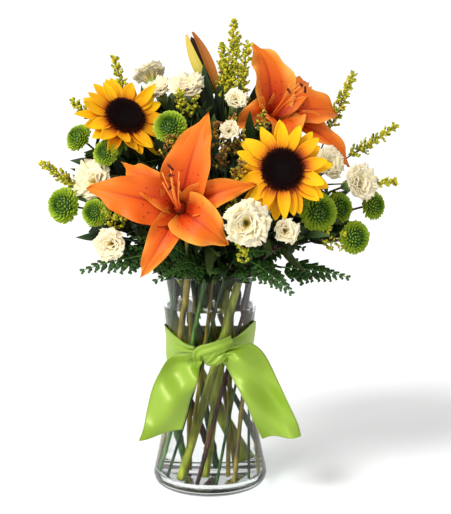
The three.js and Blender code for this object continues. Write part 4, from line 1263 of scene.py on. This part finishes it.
leaf = {
    "seed": 61, "count": 9, "length": (34, 62),
    "big": {"width": (5.5, 10), "curl": (-4, 14), "chance": 1, "rows": 9, "around": 10},
    # base, tip and half width of each leaf that stands in a set place
    "upright": (
        ((4, -6, 130), (-7, -4, 204), 7), ((8, 0, 128), (10, -4, 190), 6),
        ((-14, 8, 130), (-12, 4, 186), 6.5), ((24, -8, 132), (30, -14, 186), 6),
        ((-34, 14, 118), (-40, 6, 170), 7), ((36, 8, 130), (46, 6, 184), 6.5),
        ((-56, 2, 96), (-68, 8, 182), 7), ((14, 24, 130), (22, 34, 206), 7),
        ((-20, 36, 120), (-28, 50, 176), 7), ((40, -20, 110), (38, -40, 160), 6),
        ((-44, -24, 100), (-48, -40, 150), 7), ((4, -34, 110), (4, -48, 158), 6),
        ((-96, -8, 76), (-126, -6, 104), 6), ((84, 0, 96), (110, 4, 150), 6),
        ((70, 10, 100), (92, 26, 168), 6.5),
    ),
    "core": 2600, "rim": 170, "neck": 34, "coreLength": (18, 34),
    "small": {"width": (3.5, 7), "curl": (-2, 8), "chance": 0.8, "rows": 6, "around": 8},
}

fernSkin = petalPaint("leatherleafFern", [
    (0, "#16300C"), (0.4, "#264A14"), (0.75, "#3A6420"), (1, "#527C34")],
    mottle=0.7, vein=0.25, veinScale=(9, 3, 1), under="#56683A", roughness=0.42, glow=0.02, gloss=0.35)
# greens for the leaves inside the bouquet: a leaf's own green, darkened nearly to black as painted shade of
# the bouquet's interior
leafSkinWithPaintedShade = petalPaint("foliageWithPaintedShade", [(0, "#0C1406"), (0.4, "#16260C"), (0.75, "#243A12"), (1, "#3A5420")],
                      mottle=0.7, vein=0.3, veinScale=(14, 1.5, 1), under="#3E4E24", roughness=0.5, glow=0.02)


def addFrond(shell, path, width, rng, hang=0.16):
    # A frond on its midrib path, in mm: pairs of pinnae, longest near the base, each cut into toothed
    # lobes. Its upper side turns to the front of the bouquet, or to the back behind it
    steps = np.linalg.norm(np.diff(path, axis=0), axis=1)
    along = np.concatenate([[0], np.cumsum(steps)])
    pairs = max(6, int(along[-1] / 7.0))
    share = np.repeat((np.arange(pairs) + 0.5) / pairs * 0.98 + 0.015, 2)
    sign = np.tile([-1.0, 1.0], pairs)
    where = share * along[-1]
    at = np.stack([np.interp(where, along, line) for line in path.T], 1)
    ahead = unit(np.stack([np.interp(where, along, np.gradient(line)) for line in path.T], 1))
    look = np.array([0, -0.85 if path[-1, 1] < 25 else 0.85, 0.55])
    across = unit(np.cross(ahead, look))
    above = np.cross(across, ahead)
    # pinna length: 0.74 width (1 - share)^0.75, a little less at the very base
    length = 0.74 * width * (1 - share)**0.75 * (0.72 + 0.28 * smooth(share, 0, 0.12))
    length = length * rng.uniform(0.9, 1.08, len(share))
    length = np.maximum(length, 3.5)
    out = unit(across * sign[:, None] * 0.78 + ahead * (0.72 + 0.4 * share)[:, None] - above * 0.12
               + rng.normal(0, 0.07, (len(share), 3)))
    lobes = 4
    spot = (np.arange(lobes) + 0.6) / lobes
    droop = -hang * spot**2
    # lobe roots along each pinna, on both of its edges, and one at its tip
    root = at[:, None] + out[:, None] * (length[:, None] * spot)[..., None] + np.array([0, 0, 1.0]) * (
        length[:, None] * droop)[..., None]
    flat = np.cross(above, out)
    root = np.repeat(root, 2, 1).reshape(-1, 3)
    edge = np.tile(np.tile([-1.0, 1.0], lobes), len(share))[:, None]
    outs, flats = np.repeat(out, 2 * lobes, 0), np.repeat(flat, 2 * lobes, 0)
    size = np.repeat(length, 2 * lobes) * np.tile(np.repeat(0.32 - 0.14 * spot, 2), len(share))
    point = unit(outs * 1.1 + flats * edge * 0.7 - np.array([0, 0, hang * 0.5]))
    start, direction = root, point
    reach = np.maximum(size, 1.6)
    start = np.vstack([start, at])
    direction = np.vstack([direction, unit(out - np.array([0, 0, hang * 0.35]))])
    reach = np.concatenate([reach, length * 1.1])
    wide = np.concatenate([np.maximum(size * 0.5, 1.2), 0.17 * length + 0.9])
    above = np.vstack([np.repeat(above, 2 * lobes, 0), above])
    side = unit(np.cross(above, direction))
    reach, wide = reach[:, None, None] * mm, wide[:, None, None] * mm
    drop = np.concatenate([np.zeros(len(root)), length * hang * 0.55])[:, None, None] * mm

    def shape(t, s):
        # a lobe: widest near its base, arched across, its tip dropped by drop
        half = wide * np.sin(math.pi * np.clip(0.24 + 0.76 * t, 0, 1))**0.8
        return reach * t, half * s, -0.22 * half * s**2 - drop * t**2, skinThickness(t, 0.2)

    chance = rng.uniform(0, 1, len(start))
    addBlades(shell, start * mm, direction, side, shape, 4, 6, chance, chance, 0.7)
    shell.add(*tube(path * mm, np.linspace(0.95, 0.35, len(path)) * mm, 6), v=np.full(len(path), 0.8))


def archPath(base, tip, lift, rows=16):
    # a frond's midrib: it leaves base rising and comes over to tip
    base, tip = np.asarray(base, float), np.asarray(tip, float)
    up = np.array([0, 0, lift])
    return bezier(base, base + (tip - base) * 0.3 + up, base + (tip - base) * 0.72 + up * 0.7, tip, rows)


def makeFerns():
    # fronds on stems of their own, then loose ones, eight to a piece
    f = fern
    for index, (name, (ring, knee, tip)) in enumerate(f["fronds"].items()):
        rng = np.random.default_rng(160 + index)
        shell, stem = Shell(), Shell()
        knee, tip = aboveRim(knee), aboveRim(tip)
        ahead = unit(tip - knee)
        addStem(stem, stemPath(*ring, f["stem"], knee, ahead), f["stem"], taper=0.75, ribs=5)
        addFrond(shell, archPath(knee - ahead, tip, 3), f["width"], rng)
        piece = "fern" + name.title().replace("_", "")
        makePiece(f"{piece}Frond", shell, fernSkin, [f"fern_{name}"])
        makePiece(f"{piece}Stem", stem, stemFinish["dark"], [f"fern_{name}"])
    rng = np.random.default_rng(170)
    for start in range(0, len(f["loose"]), 8):
        shell = Shell()
        for base, tip, width in f["loose"][start:start + 8]:
            addFrond(shell, archPath(aboveRim(base), aboveRim(tip), rng.uniform(6, 16)), width, rng)
        makePiece(f"looseFerns{start // 8}", shell, fernSkin)


def keepsClear(start, along, length):
    # True for each leaf that stays behind every flower: three points of it, at the height h along the
    # flower's face and r aside, have h under -depth (1 - r / reach)^2.2 - 4, or are well outside reach
    flowers = [(one["at"], unit(one["face"]), 52, 4) for one in sunflower["flowers"].values()]
    flowers += [(one["at"], unit(one["face"]), 96, lily["tube"]) for one in lily["flowers"].values()]
    small = list(carnation["blooms"].values()) + list(pom["blooms"].values())
    flowers += [(at, outward(at), radius * 1.1, 0) for at, radius, _ in small]
    kept = np.ones(len(start), bool)
    for at, face, reach, depth in flowers:
        for share in (0.1, 0.6, 1.05):
            place = start + along * (length * share)[:, None] - aboveRim(at)
            height = place @ face
            aside = np.linalg.norm(place - height[:, None] * face, axis=1)
            limit = -depth * np.clip(1 - aside / reach, 0, 1)**2.2 - 4
            kept &= ~((aside < reach) & (height > limit) & (height < 60))
    return kept


def bloomPlaces():
    # the place of every bloom, in mm
    places = [at for table in (carnation, pom) for at, *_ in table["blooms"].values()]
    places += [one["at"] for table in (sunflower, lily) for one in table["flowers"].values()]
    return np.array([aboveRim(at) for at in places])


def leafPiece(name, start, along, side, length, wide, bend, fold, power, rows, around, chance):
    # lance leaves, wide sin(pi t^0.85)^power, folded along the midrib, their tips bent back by bend
    def shape(t, s):
        # lifted from the midrib by fold times the distance aside
        width = wide * np.sin(math.pi * t**0.85) ** power
        return length * t, width * s, fold * width * np.abs(s) - bend * t**2, skinThickness(t, 0.25)

    shell = Shell()
    addBlades(shell, start * mm, along, side, shape, rows, around, chance, chance)
    makePiece(name, shell, leafSkinWithPaintedShade)


def scatterLeaves(name, rng, start, along, length, kind):
    # leaves turned at random about their own length, left out where they would meet a flower
    kept = keepsClear(start, along, length)
    start, along, length = start[kept], along[kept], length[kept, None, None] * mm
    side = unit(np.cross(along, rng.normal(0, 1, start.shape)))
    wide, curl = (each(rng, *kind[key], len(start)) * mm for key in ("width", "curl"))
    chance = rng.uniform(0, kind["chance"], len(start))
    leafPiece(name, start, along, side, length, wide, curl, 0.42, 1.1, kind["rows"], kind["around"], chance)


def makeLeaves():
    # lance leaves along the stems under every bloom, pointing up and out from the heart
    rng = np.random.default_rng(leaf["seed"])
    middle = aboveRim(heart)
    ends = np.repeat(bloomPlaces(), leaf["count"], 0)
    share = rng.uniform(0.22, 0.72, len(ends))[:, None]
    start = middle + (ends - middle) * share + rng.normal(0, 7, ends.shape)
    along = unit(unit(ends - middle) + rng.normal(0, 0.42, ends.shape) + np.array([0, 0, 0.15]))
    length = rng.uniform(*leaf["length"], len(ends)) * (1.15 - 0.6 * share[:, 0])
    scatterLeaves("stemLeavesWithPaintedShade", rng, start, along, length, leaf["big"])


def makeUprightLeaves():
    # a few broad leaves in set places between the upper blooms, each facing forwards with a gentle bend
    base, tip = (np.array([aboveRim(one[k]) for one in leaf["upright"]]) for k in (0, 1))
    wide = np.array([one[2] for one in leaf["upright"]])[:, None, None] * mm
    length = np.linalg.norm(tip - base, axis=1)[:, None, None] * mm
    along = unit(tip - base)
    leafPiece("uprightLeaves", base, along, unit(np.cross(along, (0.25, 1.0, 0.1))), length, wide,
              0.05 * length, 0.36, 0.9, 12, 12, np.linspace(0.1, 0.7, len(base)))


def makeCoreLeaves():
    # small leaves between the blooms, painted dark as the shade there: each stands on the line from one bloom
    # to another near it, set back towards the heart, or round the rim, and leans outwards
    rng = np.random.default_rng(leaf["seed"] + 1)
    blooms = bloomPlaces()
    middle = aboveRim(heart)
    first, second = (rng.integers(0, len(blooms), leaf["core"]) for _ in range(2))
    near = np.linalg.norm(blooms[first] - blooms[second], axis=1) < 110
    first, second = first[near], second[near]
    share = rng.uniform(0.1, 0.9, (len(first), 1))
    between = blooms[first] * share + blooms[second] * (1 - share)
    back = rng.uniform(0.1, 0.34, (len(first), 1))
    start = between + (middle - between) * back
    angle = rng.uniform(0, turn, leaf["rim"])
    height = vase["height"] + rng.uniform(2, 22, leaf["rim"])
    low = np.stack([np.cos(angle) * 34, np.sin(angle) * 34, height], 1)
    lift = np.stack([np.cos(angle), np.sin(angle), rng.uniform(-0.1, 0.7, leaf["rim"])], 1)
    start = np.vstack([start, low])
    along = np.vstack([unit(between - middle), unit(lift)])
    along = unit(along + rng.normal(0, 0.5, start.shape))
    # and a few stand in the neck of the vase, close to upright
    angle = rng.uniform(0, turn, leaf["neck"])
    out = rng.uniform(8, 33, leaf["neck"])
    inside = np.stack([np.cos(angle) * out, np.sin(angle) * out, rng.uniform(172, 214, leaf["neck"])], 1)
    start = np.vstack([start, inside])
    along = np.vstack([along, unit(rng.normal(0, 0.16, inside.shape) + (0, 0, 1))])
    length = rng.uniform(*leaf["coreLength"], len(start))
    scatterLeaves("coreLeaves", rng, start, along, length, leaf["small"])


makeFerns()
makeLeaves()
makeUprightLeaves()
makeCoreLeaves()
print("ferns and leaves ready")


# satin ribbon

ribbon = {
    "width": 37, "rise": 149, "thick": 0.35, "off": 0.75, "flat": (0.038, 0.58),
    "backDrop": 7.0,  # how far the band sinks behind the vase
    "knotAngle": -90, "knotHalf": 17,  # degrees round the vase
    # tail edges from the knot down: outer edge x and z, inner edge x and z, y of the outer and inner edge
    "left": ((-8, 150, -7, 139, -55, -54), (-24, 148.5, -9.5, 134, -57, -55), (-39, 143, -10, 129, -55, -56),
             (-49, 128, -11, 122, -56, -57), (-56, 112, -14, 113, -59, -58), (-61, 92, -18, 103, -60, -59),
             (-65, 74, -22, 88, -60, -61), (-70.5, 63, -26.5, 72, -64, -61)),
    "right": ((12, 150, 11, 141, -56, -55), (27, 155, 13, 138, -55, -56), (41, 155, 16, 133, -52, -57),
              (54, 144, 22, 123, -53, -58), (66, 122, 29, 112, -57, -60), (77, 99, 35.5, 99, -60, -61),
              (85.5, 80, 43, 81, -61, -63), (89, 67.5, 51, 64, -62, -63)),
}


def clothShell(shell, points, thick, v, shade=(0.5, 0.5, 0, 1)):
    # a closed sheet from a grid (rows, columns, 3): each point moved half the thickness along both normals
    normal = unit(np.cross(np.gradient(points, axis=0), np.gradient(points, axis=1))) * thick / 2
    top, bottom = points + normal, points - normal
    ring = np.concatenate([points[:, :1], top[:, 1:-1], points[:, -1:], bottom[:, -2:0:-1]], 1)
    columns = points.shape[1]
    share = np.linspace(0, 1, columns)
    shell.add(ring[None], None, v, np.concatenate([share, share[-2:0:-1]]), shade)


def satin():
    # polyester satin: smooth weft-faced weave with a soft wide sheen and a firm woven edge
    paint = Paint("polyesterSatin")
    uv, across, _ = paint.petalPlace()
    threads = paint.noise(paint.stretched(uv, (6, 260, 1)), 1.0, 2.0)
    edge = paint.calc("ABSOLUTE", paint.calc("SUBTRACT", across, 0.5))
    colour = paint.ramp(edge, [(0.0, "#84A62C"), (0.44, "#80A22A"), (0.475, "#6C8E22"), (0.5, "#96B444")])
    return paint.skin({
        "Base Color": colour, "Roughness": 0.42, "Normal": paint.bump(threads, 0.25, 0.0002),
        "Specular IOR Level": 1.0, "Specular Tint": linear("#F4F4B0"), "Anisotropic": 0.55,
        "Sheen Weight": 0.4, "Sheen Roughness": 0.4, "Sheen Tint": linear("#EEF2A0"),
        "Subsurface Weight": 0.1, "Subsurface Scale": 0.001})


def bandPoints(rows=190, columns=25):
    # once round the glass from the right of the knot to its left, gathered towards the knot
    r = ribbon
    t = np.linspace(0, 1, rows)[:, None]
    s = np.linspace(-1, 1, columns)[None]
    angle = np.radians(r["knotAngle"] + r["knotHalf"] + (360 - 2 * r["knotHalf"]) * t)
    turnsFromKnot = np.minimum(t, 1 - t) * (360 - 2 * r["knotHalf"])
    apart = smooth(turnsFromKnot, 0, 62)
    right = t < 0.5
    half = r["width"] / 2 * np.where(right, 0.30 + 0.66 * apart, 0.22 + 0.76 * apart)
    # the band's middle: sinks behind, and comes to the knot's height at both ends
    level = r["rise"] - r["backDrop"] * smooth(np.sin(angle), -0.6, 1.0)
    level = level + np.where(right, 4.0, -0.5) * (1 - apart) + np.where(right, 4.5, -1.0) * np.exp(
        -((turnsFromKnot - 52) / 30)**2)
    z = level + half * s
    gathers = (1 - smooth(turnsFromKnot, 0, 58))
    folds = 1.7 * np.sin(6.5 * s + 0.6 + 3 * t) * gathers + 0.9 * np.sin(13 * s + 2.0) * gathers**2
    soft = 0.5 * np.sin(3.0 * s + 5 * angle) * smooth(turnsFromKnot, 10, 60)
    reach = glassRadius(z) + r["off"] + 1.7 * gathers + np.maximum(folds, -1.5 * gathers) + 0.5 + soft
    reach = reach + 3.2 * (1 - smooth(turnsFromKnot, 0, 24))
    return np.stack([reach * np.cos(angle), reach * np.sin(angle), z + 0 * angle], -1) * mm


def tailPoints(rows, waves, crumple, count=70, columns=33):
    # between its two edge curves; waves and crumples move it towards and away from the eye
    edges = spline(np.array(rows, float), count)
    s = np.linspace(0, 1, columns)[None]
    t = np.linspace(0, 1, count)[:, None]
    x = edges[:, 0:1] * (1 - s) + edges[:, 2:3] * s
    z = edges[:, 1:2] * (1 - s) + edges[:, 3:4] * s
    y = edges[:, 4:5] * (1 - s) + edges[:, 5:6] * s
    grow = smooth(t, 0.02, 0.3)
    for size, down, wide, start in waves:
        y = y - size * grow * np.sin(turn * (down * t + wide * s) + start)
    for size, wide, twist, start, until in crumple:
        y = y - size * (1 - smooth(t, 0.0, until)) * np.sin(turn * wide * s + twist * t + start)
    belly = 2.5 * np.sin(math.pi * s) * smooth(t, 0.1, 0.5)
    return np.stack([x, y - belly, z], -1) * mm


def knotPoints(path, half, pleats, tilt, count=44, columns=25):
    # a wrap of ribbon over a path of (x, y, z): half is its half width at each end and the middle
    path = spline(np.array(path, float), count)
    t = np.linspace(0, 1, count)
    ahead = unit(np.gradient(path, axis=0))
    across = unit(np.cross(ahead, (0, -1, 0)) + 0 * ahead)
    across = unit(across + np.array([0, tilt, 0]))
    above = np.cross(across, ahead)
    above = above * np.sign(-above[:, 1:2] + 1e-9)
    wide = np.interp(t, [0, 0.5, 1], half)[:, None]
    s = np.linspace(-1, 1, columns)[None]
    # crowned across its width, with pleats running along it
    rise = 2.6 * (1 - s**2) * np.sin(math.pi * t)[:, None]**0.5 + pleats[0] * np.sin(pleats[1] * s + pleats[2]
                                                                                   + 2 * t[:, None])
    return (path[:, None] + across[:, None] * (wide * s)[..., None] + above[:, None] * rise[..., None]) * mm


def makeRibbon():
    # one piece of six closed sheets: the band, its two tails and three wraps of the knot
    r = ribbon
    thick = r["thick"] * mm
    shell = Shell()
    band = bandPoints()
    clothShell(shell, band, thick, np.linspace(0, 2.8, len(band)))
    left = tailPoints(r["left"], [(4.6, 1.2, 0.6, 0.4), (3.4, 2.1, -0.9, 1.6)],
                      [(3.2, 1.3, 2.0, 0.3, 0.45), (1.4, 3.1, -3.0, 1.2, 0.3)])
    corner = np.linspace(0, 1, left.shape[0])[:, None]**8 * np.linspace(1, 0, left.shape[1])[None]**3
    left = left + corner[..., None] * np.array([2.5, -7.0, 3.5]) * mm  # its outer corner curls forward
    clothShell(shell, left, thick, np.linspace(0, 1.05, len(left)))
    right = tailPoints(r["right"], [(5.0, 0.95, -0.85, 2.6), (3.2, 1.9, 1.1, 0.4)],
                       [(3.4, 1.7, 3.0, 2.4, 0.4), (2.2, 3.4, -5.0, 0.5, 0.34)])
    clothShell(shell, right, thick, np.linspace(0, 1.15, len(right)))
    wraps = (
        (((-9, -48, 141), (-11, -55, 143), (-9, -60.5, 149), (1, -62.5, 152.5), (12, -60, 156),
          (22, -52, 159)),
         (4.5, 8.0, 6.5), (0.8, 7.0, 0.4), 0.25),
        (((14, -50, 159), (10, -58, 157), (4, -60.5, 150), (-1, -58.5, 143), (-5, -53, 139)),
         (5.0, 6.5, 4.5), (0.7, 6.0, 1.5), -0.3),
        (((-4, -52, 138), (4, -57.5, 139.5), (10, -58.5, 144), (15, -56, 149)),
         (3.5, 5.0, 5.5), (0.7, 6.0, 0.2), 0.2),
    )
    for path, half, pleats, tilt in wraps:
        points = knotPoints(path, half, pleats, tilt)
        clothShell(shell, points, thick, np.linspace(0, 0.35, len(points)))
    piece = makePiece("satinRibbon", shell, satin(), ["ribbon"])


makeRibbon()
print("ribbon ready")
